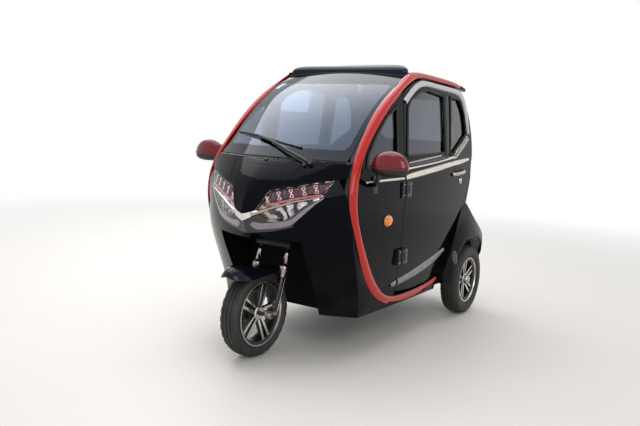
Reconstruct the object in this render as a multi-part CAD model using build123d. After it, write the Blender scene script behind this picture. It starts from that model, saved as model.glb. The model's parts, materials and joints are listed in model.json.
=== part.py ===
"""Enclosed cabin three wheeler, one steered wheel in front and two driven wheels behind.
Millimetres. X is the vehicle's left, the nose points to -Y, Z is up, the ground is Z = 0."""
import os
from math import radians, sin, cos, sqrt
from build123d import *

os.makedirs("parts", exist_ok=True)

# Driving dimensions
FRONT_AXLE_Y = -820
REAR_AXLE_Y = 790
HALF_TRACK = 462
FRONT_TYRE_R = 222.5
REAR_TYRE_R = 224
SKIN = 24            # a panel with its inner trim, as one wall
GLASS = 5
BAND_PROUD = 6       # the side arches stand out this far
LIP_Y = -75          # front edge of the roof panel
SCREEN_HALF = 400    # half width of the windscreen glass
BOTTOM_Z = 217

TOW_R = 8            # hole for a tow pin in the rear cross member
PLATE_PITCH = 180    # two bolts of the rear plate
PLATE_HOLE_R = 3.5

# The steering column leans back; its foot is just above and behind the front axle
STEER_FOOT = (0, -780, 228)
RAKE = 18
STEER_DIR = (0, sin(radians(RAKE)), cos(radians(RAKE)))
LEG_X = 88
DISC_R = 105
BAR_R = 12
GRIP_R = 17
CLAMP_S = 352        # fork clamp, this far up the steering axis
WELL_HALF = 255
WELL_TOP = 615
WELL_BACK = -545

# Door hinge pins
HINGE_X = 489
HINGE_Y = -168


def along(s, x=0.0):
    """Point on the steering axis, s millimetres up from its foot, moved sideways by x."""
    return (x, STEER_FOOT[1] + STEER_DIR[1] * s, STEER_FOOT[2] + STEER_DIR[2] * s)


def prism(points, x0, x1):
    """Side view outline of (y, z) points, solid from x0 to x1."""
    face = make_face(Polyline(*[(x0, y, z) for y, z in points], close=True))
    return extrude(face, amount=x1 - x0, dir=(1, 0, 0))


def front_prism(points, y0, y1):
    """Front view outline of (x, z) points, solid from y0 to y1."""
    face = make_face(Polyline(*[(x, y0, z) for x, z in points], close=True))
    return extrude(face, amount=y1 - y0, dir=(0, 1, 0))


def plan_prism(points, z0, z1):
    """Plan outline of (x, y) points, solid from z0 to z1."""
    face = make_face(Polyline(*[(x, y, z0) for x, y in points], close=True))
    return extrude(face, amount=z1 - z0, dir=(0, 0, 1))


def block(x, y, z):
    """Box between the pairs x, y and z."""
    size = [b - a for a, b in (x, y, z)]
    mid = [(a + b) / 2 for a, b in (x, y, z)]
    return Pos(*mid) * Box(*size)


def rod(a, b, r, r2=None):
    """Round bar from point a to point b, a cone where r2 differs."""
    a, b = Vector(*a), Vector(*b)
    plane = Plane(origin=a, z_dir=b - a)
    length = (b - a).length
    if r2 is None:
        solid = Cylinder(r, length, align=(Align.CENTER, Align.CENTER, Align.MIN))
    else:
        solid = Cone(r, r2, length, align=(Align.CENTER, Align.CENTER, Align.MIN))
    return plane * solid


def both(shape):
    """The shape and its mirror image on the other side of the vehicle."""
    return Compound(children=[*shape.solids(), *mirror(shape, Plane.YZ).solids()])


def save(name, shape):
    solids = shape.solids()
    part = solids[0] if len(solids) == 1 else Compound(children=list(solids))
    export_step(part, f"parts/{name}.step")


def circle_through(a, b, sag):
    """Centre and radius of the arc from a to b that rises by sag over its chord, in side view."""
    (y0, z0), (y1, z1) = a, b
    half = sqrt((y1 - y0) ** 2 + (z1 - z0) ** 2) / 2
    r = (half ** 2 + sag ** 2) / (2 * sag)
    uy, uz = (y1 - y0) / (2 * half), (z1 - z0) / (2 * half)
    my, mz = (y0 + y1) / 2, (z0 + z1) / 2
    return my + uz * (r - sag), mz - uy * (r - sag), r


def drum(centre_y, centre_z, r, crown_r, half=640):
    """Solid under a curved panel: round in side view and crowned across the vehicle."""
    drop = half ** 2 / (2 * crown_r)
    face = make_face([
        ThreePointArc((-half, 0, r - drop), (0, 0, r), (half, 0, r - drop)),
        Polyline((half, 0, r - drop), (half, 0, 0), (-half, 0, 0), (-half, 0, r - drop)),
    ])
    return Pos(0, centre_y, centre_z) * revolve(face, Axis.X, 360)


# The body as one form, cut to its panels further down. "grow" moves every face outwards.

#   height, y at x = 0, y at x = 400
SCREEN = [
    (1000, -778, -655),
    (1100, -672, -560),
    (1226, -528, -447),
    (1330, -378, -324),
    (1440, -188, -145),
    (1640, 240, 275),
]
PLAN_R = 16000       # the sides are very slightly bowed in plan
SIDE_BOW_Y = 60
SIDE_PROFILE = {     # height: half width
    "foot": (190, 440), "flank": (520, 472), "belt": (890, 479),
    "shoulder": (985, 464), "window": (1290, 436), "top": (1640, 386),
}
#         height, then y at x = 0, 260 and 470
NOSE_LOW = [
    (190, -668, -608, -500),
    (400, -770, -700, -552),
    (570, -880, -790, -628),
    (748, -956, -842, -660),
]
NOSE_HIGH = [
    (748, -956, -842, -660),
    (885, -900, -822, -660),
    (1012, -766, -722, -620),
]


def sides(grow):
    p = {k: (w + grow, 0, z) for k, (z, w) in SIDE_PROFILE.items()}
    face = make_face([
        ThreePointArc(p["foot"], p["flank"], p["belt"]),
        Line(p["belt"], p["shoulder"]),
        ThreePointArc(p["shoulder"], p["window"], p["top"]),
        Polyline(p["top"], (-640, 0, 1640), (-640, 0, 190), p["foot"]),
    ])
    axis = Axis((479 - PLAN_R, 0, 0), (0, 0, 1))
    left = Pos(0, SIDE_BOW_Y, 0) * revolve(face.rotate(axis, -4.6), axis, 9.2)
    return left & mirror(left, Plane.YZ)


def nose_section(row, grow):
    """Plan section of the nose: two arcs that meet in a soft point at the centre."""
    z, y0, y1, y2 = row
    c = ((y2 - y0) / 470 - (y1 - y0) / 260) / (470 - 260)
    b = (y1 - y0) / 260 - c * 260
    at = lambda x: (x, y0 + b * abs(x) + c * x * x - grow, z)
    return make_face([
        ThreePointArc(at(-620), at(-310), at(0)),
        ThreePointArc(at(0), at(310), at(620)),
        Polyline(at(620), (620, 1200, z), (-620, 1200, z), at(-620)),
    ])


def nose(grow):
    low = loft([nose_section(row, grow) for row in NOSE_LOW])
    high = loft([nose_section(row, grow) for row in NOSE_HIGH])
    above = block((-620, 620), (-1000, 1200), (1012, 1700))
    return low + high + above


def screen(grow):
    """Space behind the windscreen, whose bow gets flatter towards the roof."""
    faces = []
    for z, y0, y1 in SCREEN:
        y0, y1 = y0 - grow * 1.7, y1 - grow * 1.7
        far = y1 + (y1 - y0) * 1.56
        faces.append(make_face([
            ThreePointArc((-640, far, z), (0, y0, z), (640, far, z)),
            Polyline((640, far, z), (640, 1300, z), (-640, 1300, z), (-640, far, z)),
        ]))
    return loft(faces) + block((-640, 640), (-1300, 1300), (150, SCREEN[0][0]))


def roof_drum(grow):
    cy, cz, r = circle_through((LIP_Y, 1512), (712, 1504), 8)
    return drum(cy, cz, r + grow, 4000)


def roof(grow):
    return roof_drum(grow) + block((-640, 640), (-1300, LIP_Y - 20), (150, 1700))


def tail(grow):
    """Rear of the body, turned about a vertical line through the middle of the vehicle."""
    p = [(r + grow, 0, z) for r, z in
         [(876, 190), (884, 690), (940, 880), (982, 1040), (931, 1275), (760, 1480), (560, 1660)]]
    face = make_face([
        Line(p[0], p[1]), ThreePointArc(p[1], p[2], p[3]), ThreePointArc(p[3], p[4], p[5]),
        Polyline(p[5], p[6], (0, 0, 1660), (0, 0, 190), p[0]),
    ])
    return revolve(face, Axis.Z, 180) + block((-1000, 1000), (-1300, 0), (190, 1660))


def body_form(grow, z0=BOTTOM_Z):
    form = sides(grow) & nose(grow) & screen(grow) & roof(grow) & tail(grow)
    return form & block((-640, 640), (-1300, 1300), (z0 - grow, 1700))


# Outlines in side view, (y, z)

BAND_INNER = [
    (712, 1461), (574, 1460), (342, 1464), (199, 1469), (91, 1473), (38, 1471), (-27, 1457),
    (-132, 1411), (-258, 1334), (-376, 1248), (-486, 1157), (-572, 1063), (-630, 960),
    (-660, 860), (-650, 763), (-600, 645), (-528, 536), (-449, 431), (-343, 334), (-240, 284),
    (-107, 268), (45, 268), (205, 275), (313, 289), (392, 306),
]
BAND_OUTER = [
    (400, 292), (342, 257), (224, 236), (92, 227), (-63, 226), (-205, 238), (-352, 283),
    (-461, 355), (-549, 462), (-617, 575), (-668, 690), (-700, 800), (-720, 900),
]
BAND_FRONT = [(-720, 1040), (-560, 1260), (-330, 1440), (-130, 1540), (0, 1512), (342, 1506),
              (712, 1500)]
DOOR = [
    (-165, 300), (-107, 291), (45, 283), (205, 290), (313, 303), (398, 318), (489, 473),
    (600, 612), (728, 756), (790, 850), (806, 930), (812, 1040), (818, 1160), (800, 1300),
    (760, 1390), (700, 1442), (574, 1448), (342, 1452), (199, 1457), (91, 1461), (42, 1459),
    (-20, 1446), (-120, 1402), (-165, 1374),
]
DOOR_WINDOW = [(-135, 1042), (-118, 1300), (-78, 1345), (60, 1400), (150, 1412), (380, 1396),
               (384, 1058), (340, 1056)]
REAR_PANE = [(464, 1052), (490, 1398), (648, 1392), (716, 1318), (742, 1238), (752, 1178),
             (520, 1052)]
QUARTER_PANE = [(-246, 1300), (-246, 1010), (-560, 985), (-548, 1040), (-468, 1140),
                (-360, 1236)]
FAR_BACK = 1200
# Foot of the raised panel on the roof, in plan; its sides slope in towards its top
HUMP = [(385, LIP_Y), (378, -30), (308, 60), (252, 160), (206, 260), (145, 360), (52, 425)]
HUMP_FOOT, HUMP_HEAD, HUMP_SHRINK, HUMP_MIDDLE_Y = 1496, 1566, 0.68, 150

# Outlines in front view, (x, z), left half
LAMP = [(77, 732), (94, 714), (121, 708), (157, 711), (193, 719), (219, 733), (249, 767),
        (275, 792), (307, 813), (352, 838), (357, 860), (366, 890), (376, 911), (380, 930),
        (324, 918), (245, 899), (161, 879), (112, 869), (96, 842), (84, 816), (70, 790),
        (58, 770)]
DRL = [(31, 684), (48, 669), (67, 663), (101, 668), (149, 676), (186, 684), (217, 696),
       (239, 713), (265, 741), (293, 772), (320, 803), (352, 834), (352, 838), (338, 830),
       (308, 804), (281, 781), (261, 763), (232, 732), (210, 720), (175, 710), (129, 702),
       (91, 696), (63, 699), (44, 700)]
CHROME = [(0, 700), (52, 725), (73, 740), (96, 759), (154, 778), (217, 799), (258, 814),
          (306, 827), (355, 843), (353, 850), (304, 835), (256, 822), (215, 807), (152, 787),
          (92, 770), (66, 757), (45, 752), (0, 738)]
NOSE_OPENING = [(0, 640), (63, 648), (108, 655), (147, 663), (184, 674), (224, 686), (239, 713),
                (265, 741), (293, 772), (320, 803), (352, 834), (357, 860), (366, 890), (376, 911),
                (380, 920), (424, 936), (424, 1009), (0, 1009)]
BONNET = [(0, 738), (45, 752), (66, 762), (80, 790), (93, 816), (104, 842), (119, 859),
          (161, 869), (245, 889), (324, 908), (380, 920), (424, 936), (424, 1009), (0, 1009)]


def halves(points):
    """An outline of the left half and its mirror image, in front view."""
    return [points, [(-x, z) for x, z in points]]


def front_region(points):
    a, b = [front_prism(p, -1100, -560) for p in halves(points)]
    return a + b


def turned(points, centre_y, centre_z):
    """Solid of revolution about a line along X; points are (x, radius)."""
    face = make_face(Polyline(*[(x, 0, r) for x, r in points], close=True))
    return Pos(0, centre_y, centre_z) * revolve(face, Axis.X, 360)


def rear_cylinder(r, x0, x1):
    return turned([(x0, 0), (x1, 0), (x1, r), (x0, r)], REAR_AXLE_Y, REAR_TYRE_R)


def body_panels():
    outer = body_form(0)
    inner = body_form(-SKIN, 60)
    shell = outer - inner
    proud = body_form(BAND_PROUD)
    cover = body_form(4) - outer

    band = prism(BAND_INNER + BAND_OUTER + BAND_FRONT, SCREEN_HALF, 640)
    band -= block((390, 426), (-1300, -500), (0, 1010))
    band = both(band)
    inside_band = both(prism(BAND_INNER, 300, 640))
    well = well_space()

    save("red_arches", (proud - inner) & band)

    lamp = front_region(LAMP)
    drl = front_region(DRL)
    opening = front_region(NOSE_OPENING)
    bonnet = front_region(BONNET)
    save("bonnet", (shell & bonnet) - band)
    save("headlamps", (shell & lamp) - bonnet - drl)
    save("drl_strips", (shell & drl) - bonnet)
    save("nose_trim", (shell & opening) - bonnet - lamp - drl - band - well)
    save("nose_chrome", cover & front_region(CHROME))

    front = prism([(-205, 190), (-205, 240)] + BAND_OUTER[6:] + [(-720, 1009), (-1200, 1009),
                  (-1200, 190)], -640, 640)
    cowl = (shell & front) - opening - band - well
    save("front_cowl", cowl)

    # Front quarter with its fixed pane
    quarter = (shell & inside_band & block((-640, 640), (-900, HINGE_Y - 2), (240, 1500)))
    pane = both(prism(QUARTER_PANE, 300, 640))
    save("quarter_panels", quarter - pane)

    # Doors, with a sliding pane and a fixed pane behind it
    door = shell & prism(DOOR, 300, 640)
    holes = prism(DOOR_WINDOW, 300, 640) + prism(REAR_PANE, 300, 640)
    door = door - holes
    save("door_left", door)
    save("door_right", mirror(door, Plane.YZ))
    glass = (Pos(-9, 0, 0) * outer) - (Pos(-9 - GLASS, 0, 0) * outer)
    panes = glass & holes
    save("door_glass_left", panes)
    save("door_glass_right", mirror(panes, Plane.YZ))
    save("quarter_glass", both(glass & prism(QUARTER_PANE, 300, 640)))

    # Screen, roof and tail
    slide = lambda d: Pos(0, 0.577 * d, -0.817 * d)
    pane = (slide(3) * outer) - (slide(3 + GLASS) * outer)
    save("windscreen", pane & prism([(-900, 1013), (-900, 1600), (-80, 1600), (-80, 1400),
                                     (-560, 1013)], -SCREEN_HALF + 2, SCREEN_HALF - 2))
    top = (sides(0) & tail(0) & roof_drum(0)) - roof_drum(-SKIN)
    top = top & block((-640, 640), (LIP_Y, 712), (1380, 1700))
    low_edge = both(block((380, 640), (-600, 800), (1300, 1466)))
    cy, cz, r = circle_through((LIP_Y, 1536), (480, 1536), 20)
    foot = HUMP + [(-x, y) for x, y in reversed(HUMP)]
    head = [(HUMP_SHRINK * x, HUMP_MIDDLE_Y + HUMP_SHRINK * (y - HUMP_MIDDLE_Y)) for x, y in foot]
    hump = loft([make_face(Polyline(*[(x, y, z) for x, y in points], close=True))
                 for points, z in ((foot, HUMP_FOOT), (head, HUMP_HEAD))], ruled=True)
    hump &= drum(cy, cz, r, 12000)
    save("roof", (top + hump) - band - low_edge)
    visor = prism([(716, 1484), (786, 1472), (800, 1460), (792, 1452), (716, 1462)], -392, 392)
    save("rear_spoiler", visor - tail(0))

    rear_side = [(402, 240), (402, 318), (493, 471), (604, 609), (732, 753), (794, 848),
                 (810, 930), (816, 1040), (822, 1160), (804, 1300), (764, 1393), (716, 1446),
                 (716, 1700), (FAR_BACK, 1700), (FAR_BACK, 240)]
    rear = shell & prism(rear_side, -640, 640)
    rear = rear - both(rear_cylinder(286, 360, 640))
    rear = rear - block((-380, 380), (600, FAR_BACK), (100, 545))
    window = front_prism([(-250, 1120), (250, 1120), (290, 1160), (270, 1370), (230, 1400),
                          (-230, 1400), (-270, 1370), (-290, 1160)], 700, FAR_BACK)
    save("rear_body", rear - window)
    save("rear_window", ((Pos(0, -8, 0) * outer) - (Pos(0, -8 - GLASS, 0) * outer)) & window)
    lamps = front_prism([(290, 800), (420, 790), (430, 980), (380, 1010), (300, 930)], 500,
                        FAR_BACK)
    save("tail_lamps", both(cover & lamps))

    fender = turned([(440, 290), (517, 290), (522, 298), (519, 316), (511, 342), (500, 374),
                     (488, 405), (480, 435), (473, 475), (462, 522), (440, 522)],
                    REAR_AXLE_Y, REAR_TYRE_R)
    fender &= plan_prism([(400, 300), (560, 300), (560, 920), (522, 975), (500, 1030),
                          (470, 1062), (400, 1062)], 254, 800)
    fender &= prism([(300, 254), (1062, 254), (1062, 440), (1035, 490), (985, 548), (905, 612),
                     (830, 680), (752, 750), (700, 800), (300, 800)], 400, 560)
    door_line = prism([(250, 200), (404, 200), (404, 318), (495, 468), (606, 606), (700, 720),
                       (250, 720)], 300, 640)
    save("fenders", both(fender - outer - door_line))
    housing = turned([(366, 60), (372, 60), (372, 275), (462, 275), (462, 281), (366, 281)],
                     REAR_AXLE_Y, REAR_TYRE_R)
    behind = block((300, 438), (700, 1000), (262, 600))
    housing &= block((300, 640), (480, 1000), (262, 600))
    save("wheel_housings", both((housing & outer) + (housing & behind)))

    bumper = make_face(Polyline((600, 0, 312), (1040, 0, 312), (1066.5, 0, 340),
                                (1066.5, 0, 470), (1046, 0, 515), (600, 0, 543), close=True))
    bumper = revolve(bumper, Axis.Z, 180) & block((-364, 364), (900, FAR_BACK), (290, 560))
    save("rear_bumper", bumper)
    board = block((-130, 130), (860, 916), (600, 740)) - tail(0)
    for x in (-PLATE_PITCH / 2, PLATE_PITCH / 2):
        board -= rod((x, 800, 670), (x, 920, 670), PLATE_HOLE_R)
    save("plate_holder", board)
    return outer, inner


def well_space():
    """The room that the front wheel turns in, open at the front and below."""
    return block((-WELL_HALF, WELL_HALF), (-1200, WELL_BACK), (100, WELL_TOP))


def inside(outer, inner):
    t = 6
    liner = block((-WELL_HALF - t, WELL_HALF + t), (-1200, WELL_BACK + t), (BOTTOM_Z + 8,
                  WELL_TOP + t)) - well_space()
    wall = block((-440, 440), (WELL_BACK, WELL_BACK + t), (BOTTOM_Z + 8, 800))
    column = rod(along(380), along(560), 26)
    room = [rod((x, -500, 250), (x, -500, 700), 15) + rod((x, -500, 695), along(640), 15)
            for x in (-190, 190)]
    save("wheel_well", ((liner + wall) & inner) - column - room[0] - room[1])

    floor = block((-440, 440), (WELL_BACK + t, 890), (312, 322)) & inner
    save("floor_pan", floor - both(rear_cylinder(286, 360, 640)) - room[0] - room[1])
    sill = [(-205, 190), (-205, 236), (-63, 224), (92, 225), (224, 234), (342, 255), (398, 290),
            (398, 190)]
    strip = (outer - inner) & prism(sill, 300, 640)
    box = block((400, 500), (-520, 396), (226, 311)) & inner
    save("sills", both(strip + box))

    rail = block((180, 220), (-530, 960), (262, 312))
    cross = [block((-185, 185), (y, y + 40), (262, 312)) for y in (-500, 100, 480, 920)]
    frame = rail + mirror(rail, Plane.YZ)
    for piece in cross:
        frame += piece
    frame += rod(along(575), along(695), 30) - rod(along(500), along(760), 20)
    for x in (-190, 190):
        frame += rod((x, -500, 300), (x, -500, 700), 14) + rod((x, -500, 695), along(640), 14)
    frame -= rod(along(500), along(760), 20)
    save("chassis_frame", frame - rod((0, 940, 200), (0, 940, 400), TOW_R))

    axle = rod((-384, REAR_AXLE_Y, REAR_TYRE_R), (384, REAR_AXLE_Y, REAR_TYRE_R), 27)
    case = rod((-70, REAR_AXLE_Y, REAR_TYRE_R), (70, REAR_AXLE_Y, REAR_TYRE_R), 92)
    motor = rod((0, REAR_AXLE_Y - 190, REAR_TYRE_R), (0, REAR_AXLE_Y - 60, REAR_TYRE_R), 70)
    axle = axle + case + motor
    save("rear_axle", axle & block((-640, 640), (300, 1100), (100, 309)))
    spring = block((270, 320), (REAR_AXLE_Y - 260, REAR_AXLE_Y + 180), (252, 262))
    pads = block((270, 320), (REAR_AXLE_Y - 255, REAR_AXLE_Y - 225), (262, 311))
    pads += block((270, 320), (REAR_AXLE_Y + 145, REAR_AXLE_Y + 175), (262, 311))
    save("rear_springs", both(spring + pads))

    save("battery_pack", block((-330, 330), (430, 640), (323, 520)))
    cushion = block((-250, 250), (20, 400), (440, 520))
    back = prism([(330, 525), (400, 525), (440, 900), (380, 900)], -230, 230)
    base = block((-200, 200), (60, 380), (323, 439))
    save("driver_seat", cushion + back + base)
    rear_seat = block((-330, 330), (430, 700), (521, 590))
    rear_back = prism([(640, 591), (720, 591), (780, 880), (720, 880)], -340, 340)
    save("rear_seat", (rear_seat + rear_back) & inner)

    dash = prism([(-640, 856), (-560, 856), (-560, 960), (-600, 1000), (-690, 1000),
                  (-640, 930)], -430, 430) & inner
    save("dashboard", dash - rod(along(500), along(900), 34))


def side_details(outer):
    """Hinges, handles, side lamps and mirrors."""
    leaves, knuckles = [], []
    for z0, z1 in ((819, 905), (451, 537)):
        third = (z1 - z0) / 3
        pin = rod((HINGE_X, HINGE_Y, z0), (HINGE_X, HINGE_Y, z1), 4)
        fixed = block((440, 487), (HINGE_Y - 44, HINGE_Y - 12), (z0, z1)) - outer
        for a, b in ((z0, z0 + third - 0.5), (z1 - third + 0.5, z1)):
            fixed += rod((HINGE_X, HINGE_Y, a), (HINGE_X, HINGE_Y, b), 9)
            fixed += block((480, 492), (HINGE_Y - 13, HINGE_Y), (a, b)) - outer
        moving = block((440, 487), (HINGE_Y + 12, HINGE_Y + 62), (z0, z1)) - outer
        a, b = z0 + third + 0.5, z1 - third - 0.5
        moving += rod((HINGE_X, HINGE_Y, a), (HINGE_X, HINGE_Y, b), 9)
        moving += block((480, 492), (HINGE_Y, HINGE_Y + 13), (a, b)) - outer
        moving -= rod((HINGE_X, HINGE_Y, a - 1), (HINGE_X, HINGE_Y, b + 1), 4.05)
        leaves.append(fixed + pin)
        knuckles.append(moving)
    save("hinge_leaves", both(Compound(children=leaves)))
    save("hinge_knuckles_left", Compound(children=knuckles))
    save("hinge_knuckles_right", mirror(Compound(children=knuckles), Plane.YZ))

    grip = prism([(568, 941), (600, 951), (661, 955), (722, 951), (755, 941), (722, 931),
                  (661, 928), (600, 931)], 498, 508)
    posts = block((440, 508), (585, 605), (932, 950)) + block((440, 508), (722, 742), (932, 950))
    lock = rod((440, 631, 883), (484, 631, 883), 11)
    handle = Compound(children=[*((grip + posts) - outer).solids(), *(lock - outer).solids()])
    save("door_handle_left", handle)
    save("door_handle_right", mirror(handle, Plane.YZ))

    lamp = Pos(450, -345, 707) * Rot(0, 90, 0) * extrude(Ellipse(31, 44), 38)
    save("turn_lamps", both(lamp - outer))

    foot = block((440, 488), (-474, -388), (876, 914)) - outer
    arm = rod((482, -440, 900), (556, -540, 955), 11)
    save("mirror_arms", both((foot + arm) - outer))
    shell = egg(100, 56)
    save("mirror_shells", both(shell & block((440, 700), (-640, -520), (974, 1100))))
    low = (Pos(0, 0, -12) * shell) & block((440, 700), (-640, -520), (950, 973))
    save("mirror_bases", both(low - arm))
    save("mirror_glass", both(egg(92, 48) & block((440, 700), (-519.5, -516), (974, 1100))))


def tyre(centre, r, half, rim_r, bead, lip_r, x=0.0):
    """Hollow tyre; its beads stand between the rim's flanges."""
    side = [(bead, rim_r), (bead, lip_r + 2), (half, lip_r + 18), (half * 0.98, r - 24),
            (half * 0.74, r - 6)]
    lining = [(half * 0.5, r - 14), (half * 0.82, r - 26), (half - 8, lip_r + 20),
              (bead - 7, lip_r + 5), (bead - 7, rim_r)]
    flip = lambda row: [(-a, b) for a, b in reversed(row)]
    p = side + [(0, r)] + flip(side) + flip(lining) + lining
    return turned([(x + a, b) for a, b in p], *centre)


def rim(centre, lip_r, seat_r, half, hub_r, bore_r, x=0.0, out=1, spoke_x=20):
    """Cast wheel: barrel, hub and five pairs of spokes near its outer face."""
    y, z = centre
    barrel = turned([(x - half, lip_r), (x - half, lip_r - 8), (x - half + 8, seat_r - 7),
                     (x + half - 8, seat_r - 7), (x + half, lip_r - 8), (x + half, lip_r),
                     (x + half - 7, lip_r), (x + half - 7, seat_r), (x - half + 7, seat_r),
                     (x - half + 7, lip_r)], y, z)
    reach = seat_r - 4
    wheel = barrel + turned([(x - 30, 0), (x + 30, 0), (x + 30, hub_r), (x - 30, hub_r)], y, z)
    xs = x + out * spoke_x
    for i in range(5):
        for side in (-1, 1):
            bar = Pos(xs, side * 13, reach / 2 + 8) * Box(18, 15, reach - 16)
            wheel += Pos(0, y, z) * Rot(72 * i + side * 5, 0, 0) * bar
    if bore_r:
        wheel -= turned([(x - 60, 0), (x + 60, 0), (x + 60, bore_r), (x - 60, bore_r)], y, z)
    return wheel


def egg(half_width, r):
    """Rounded mirror form, a half ellipse turned about its long axis."""
    half = Ellipse(half_width, r) & Pos(0, r / 2) * Rectangle(2 * half_width, r)
    return Pos(579, -549, 1020) * revolve(half, Axis.X, 360)


def mudguard():
    """Peaked guard over the front tyre, drawn out to a beak, with its two side brackets."""
    cy, cz, r = -850, 160, 353
    top = [(66, r - 86), (60, r - 44), (38, r - 16), (12, r - 2), (0, r)]
    under = [(0, r - 5), (12, r - 7), (35, r - 20), (56, r - 47), (62, r - 86)]
    guard = turned(top + [(-x, b) for x, b in reversed(top[:-1])]
                   + [(-x, b) for x, b in reversed(under)] + under[1:], cy, cz)
    beak = [(0, -1066.5), (16, -1052), (44, -1000), (58, -940), (67, -880), (67, -700)]
    guard &= plan_prism(beak + [(-x, y) for x, y in reversed(beak[1:])], 380, 600)
    guard &= prism([(-1100, 380), (-1070, 424), (-1040, 412), (-1000, 402), (-940, 402),
                    (-880, 414), (-700, 414), (-700, 600), (-1100, 600)], -100, 100)
    bracket = block((60, LEG_X), (-740, -714), (434, 462))
    leg = rod(along(150, LEG_X), along(260, LEG_X), 24.5)
    guard += bracket + mirror(bracket, Plane.YZ)
    return guard - leg - mirror(leg, Plane.YZ)


def front_end():
    axle = (FRONT_AXLE_Y, FRONT_TYRE_R)
    save("front_tyre", tyre(axle, FRONT_TYRE_R, 53, 154.5, 36, 167))
    save("front_rim", rim(axle, 167, 154, 44, 34, 10.05))
    disc = turned([(52, 40), (56, 40), (56, DISC_R), (52, DISC_R)], *axle)
    hub = turned([(30.5, 10.05), (60, 10.05), (60, 48), (30.5, 48)], *axle)
    save("brake_disc", mirror(disc + hub, Plane.YZ))

    legs, uppers = [], []
    for x in (-LEG_X, LEG_X):
        leg = rod(along(-14, x), along(232, x), 17) + rod(along(205, x), along(240, x), 24)
        lug = rod(along(0, x), (x, FRONT_AXLE_Y, FRONT_TYRE_R), 13)
        boss = rod((x - 14, FRONT_AXLE_Y, FRONT_TYRE_R), (x + 14, FRONT_AXLE_Y, FRONT_TYRE_R), 19)
        legs.append(leg + lug + boss)
        uppers.append(rod(along(241, x), along(CLAMP_S + 20, x), 13))
    pin = rod((-LEG_X - 26, *axle), (LEG_X + 26, *axle), 10)
    save("fork_lower", legs[0] + legs[1] + pin)
    plane = Plane(origin=along(CLAMP_S), x_dir=(1, 0, 0), z_dir=STEER_DIR)
    clamp = plane * Box(2 * LEG_X + 44, 54, 34)
    stem = rod(along(CLAMP_S), along(790), 15)
    save("fork_upper", clamp + uppers[0] + uppers[1] + stem)

    bar = rod(along(760), along(800), 24)
    for s in (-1, 1):
        bends = [along(780), (s * 60, -500, 1012), (s * 150, -400, 1040), (s * 300, -300, 1012)]
        for a, b in zip(bends, bends[1:]):
            bar += rod(a, b, BAR_R) + Sphere(BAR_R).moved(Location(a))
        bar += rod(tuple((p + q) / 2 for p, q in zip(*bends[-2:])), bends[-1], GRIP_R)
    save("handlebar", bar - rod(along(700), along(791), 15.02))

    save("front_mudguard", mudguard())
    caliper = block((60, LEG_X + 14), (FRONT_AXLE_Y + 70, FRONT_AXLE_Y + 118), (240, 310))
    slot_r = DISC_R + 3
    caliper -= turned([(51, 0), (57.5, 0), (57.5, slot_r), (51, slot_r)], *axle)
    caliper -= rod(along(-20, LEG_X), along(260, LEG_X), 17)
    save("brake_caliper", mirror(caliper, Plane.YZ))


def rear_wheels():
    axle = (REAR_AXLE_Y, REAR_TYRE_R)
    for name, s in (("left", 1), ("right", -1)):
        x = s * HALF_TRACK
        save(f"rear_tyre_{name}", tyre(axle, REAR_TYRE_R, 58.5, 132.5, 40, 147, x))
        wheel = rim(axle, 147, 132, 48, 32, 0, x, s, 22)
        drum_x = sorted((s * 386, s * (HALF_TRACK - 29)))
        drum_piece = turned([(drum_x[0], 0), (drum_x[1], 0), (drum_x[1], 100),
                             (drum_x[0], 100)], *axle)
        save(f"rear_rim_{name}", wheel + drum_piece)


def main():
    outer, inner = body_panels()
    inside(outer, inner)
    side_details(outer)
    front_end()
    rear_wheels()


if __name__ == "__main__":
    main()
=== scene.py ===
# %% [markdown]
# # An enclosed three wheeler, dressed in Blender
# The CAD model gives every panel its place and size. This script loads it as a fixed frame,
# makes the finishes, and adds or replaces the pieces that need more than a CAD solid gives:
# tyres with tread, lamps with reflectors, glass with its dark border, seats, seals and trim.
# Everything is in metres. X is the vehicle's left, the nose points to -Y and Z is up.

# %% Load the frame
import json
import math
import bmesh
import bpy
from mathutils import Matrix, Vector
from mathutils.bvhtree import BVHTree

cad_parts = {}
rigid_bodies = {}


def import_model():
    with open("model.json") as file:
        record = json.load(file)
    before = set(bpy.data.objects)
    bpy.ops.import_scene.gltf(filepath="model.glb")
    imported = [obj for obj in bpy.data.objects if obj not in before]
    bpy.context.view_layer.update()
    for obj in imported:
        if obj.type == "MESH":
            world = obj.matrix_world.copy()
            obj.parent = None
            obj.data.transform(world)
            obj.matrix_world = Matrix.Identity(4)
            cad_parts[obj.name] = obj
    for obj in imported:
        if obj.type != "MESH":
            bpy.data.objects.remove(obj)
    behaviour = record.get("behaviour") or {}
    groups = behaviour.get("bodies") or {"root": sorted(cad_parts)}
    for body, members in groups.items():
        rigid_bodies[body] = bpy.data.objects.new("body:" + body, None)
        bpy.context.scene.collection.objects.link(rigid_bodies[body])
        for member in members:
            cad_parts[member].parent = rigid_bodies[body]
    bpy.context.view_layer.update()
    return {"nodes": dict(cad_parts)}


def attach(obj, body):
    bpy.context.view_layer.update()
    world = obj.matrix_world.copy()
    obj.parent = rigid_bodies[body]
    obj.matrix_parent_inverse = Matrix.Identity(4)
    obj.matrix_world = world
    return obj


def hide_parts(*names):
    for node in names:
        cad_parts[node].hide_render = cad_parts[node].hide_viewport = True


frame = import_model()

# %% [markdown]
# ## Camera
# The photograph was taken from the front left, a little above the belt line, with a normal
# lens. Yaw, pitch and roll turn a level camera that looks along +Y.

# %% Camera at the photograph's viewing angle
CAMERA_AT = Vector((2.1052, -3.5044, 1.1575))
YAW, PITCH, ROLL = (math.radians(a) for a in (33.0, 6.9, 3.0))
LENS_MM, SENSOR_MM = 38.57, 36.0

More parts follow.
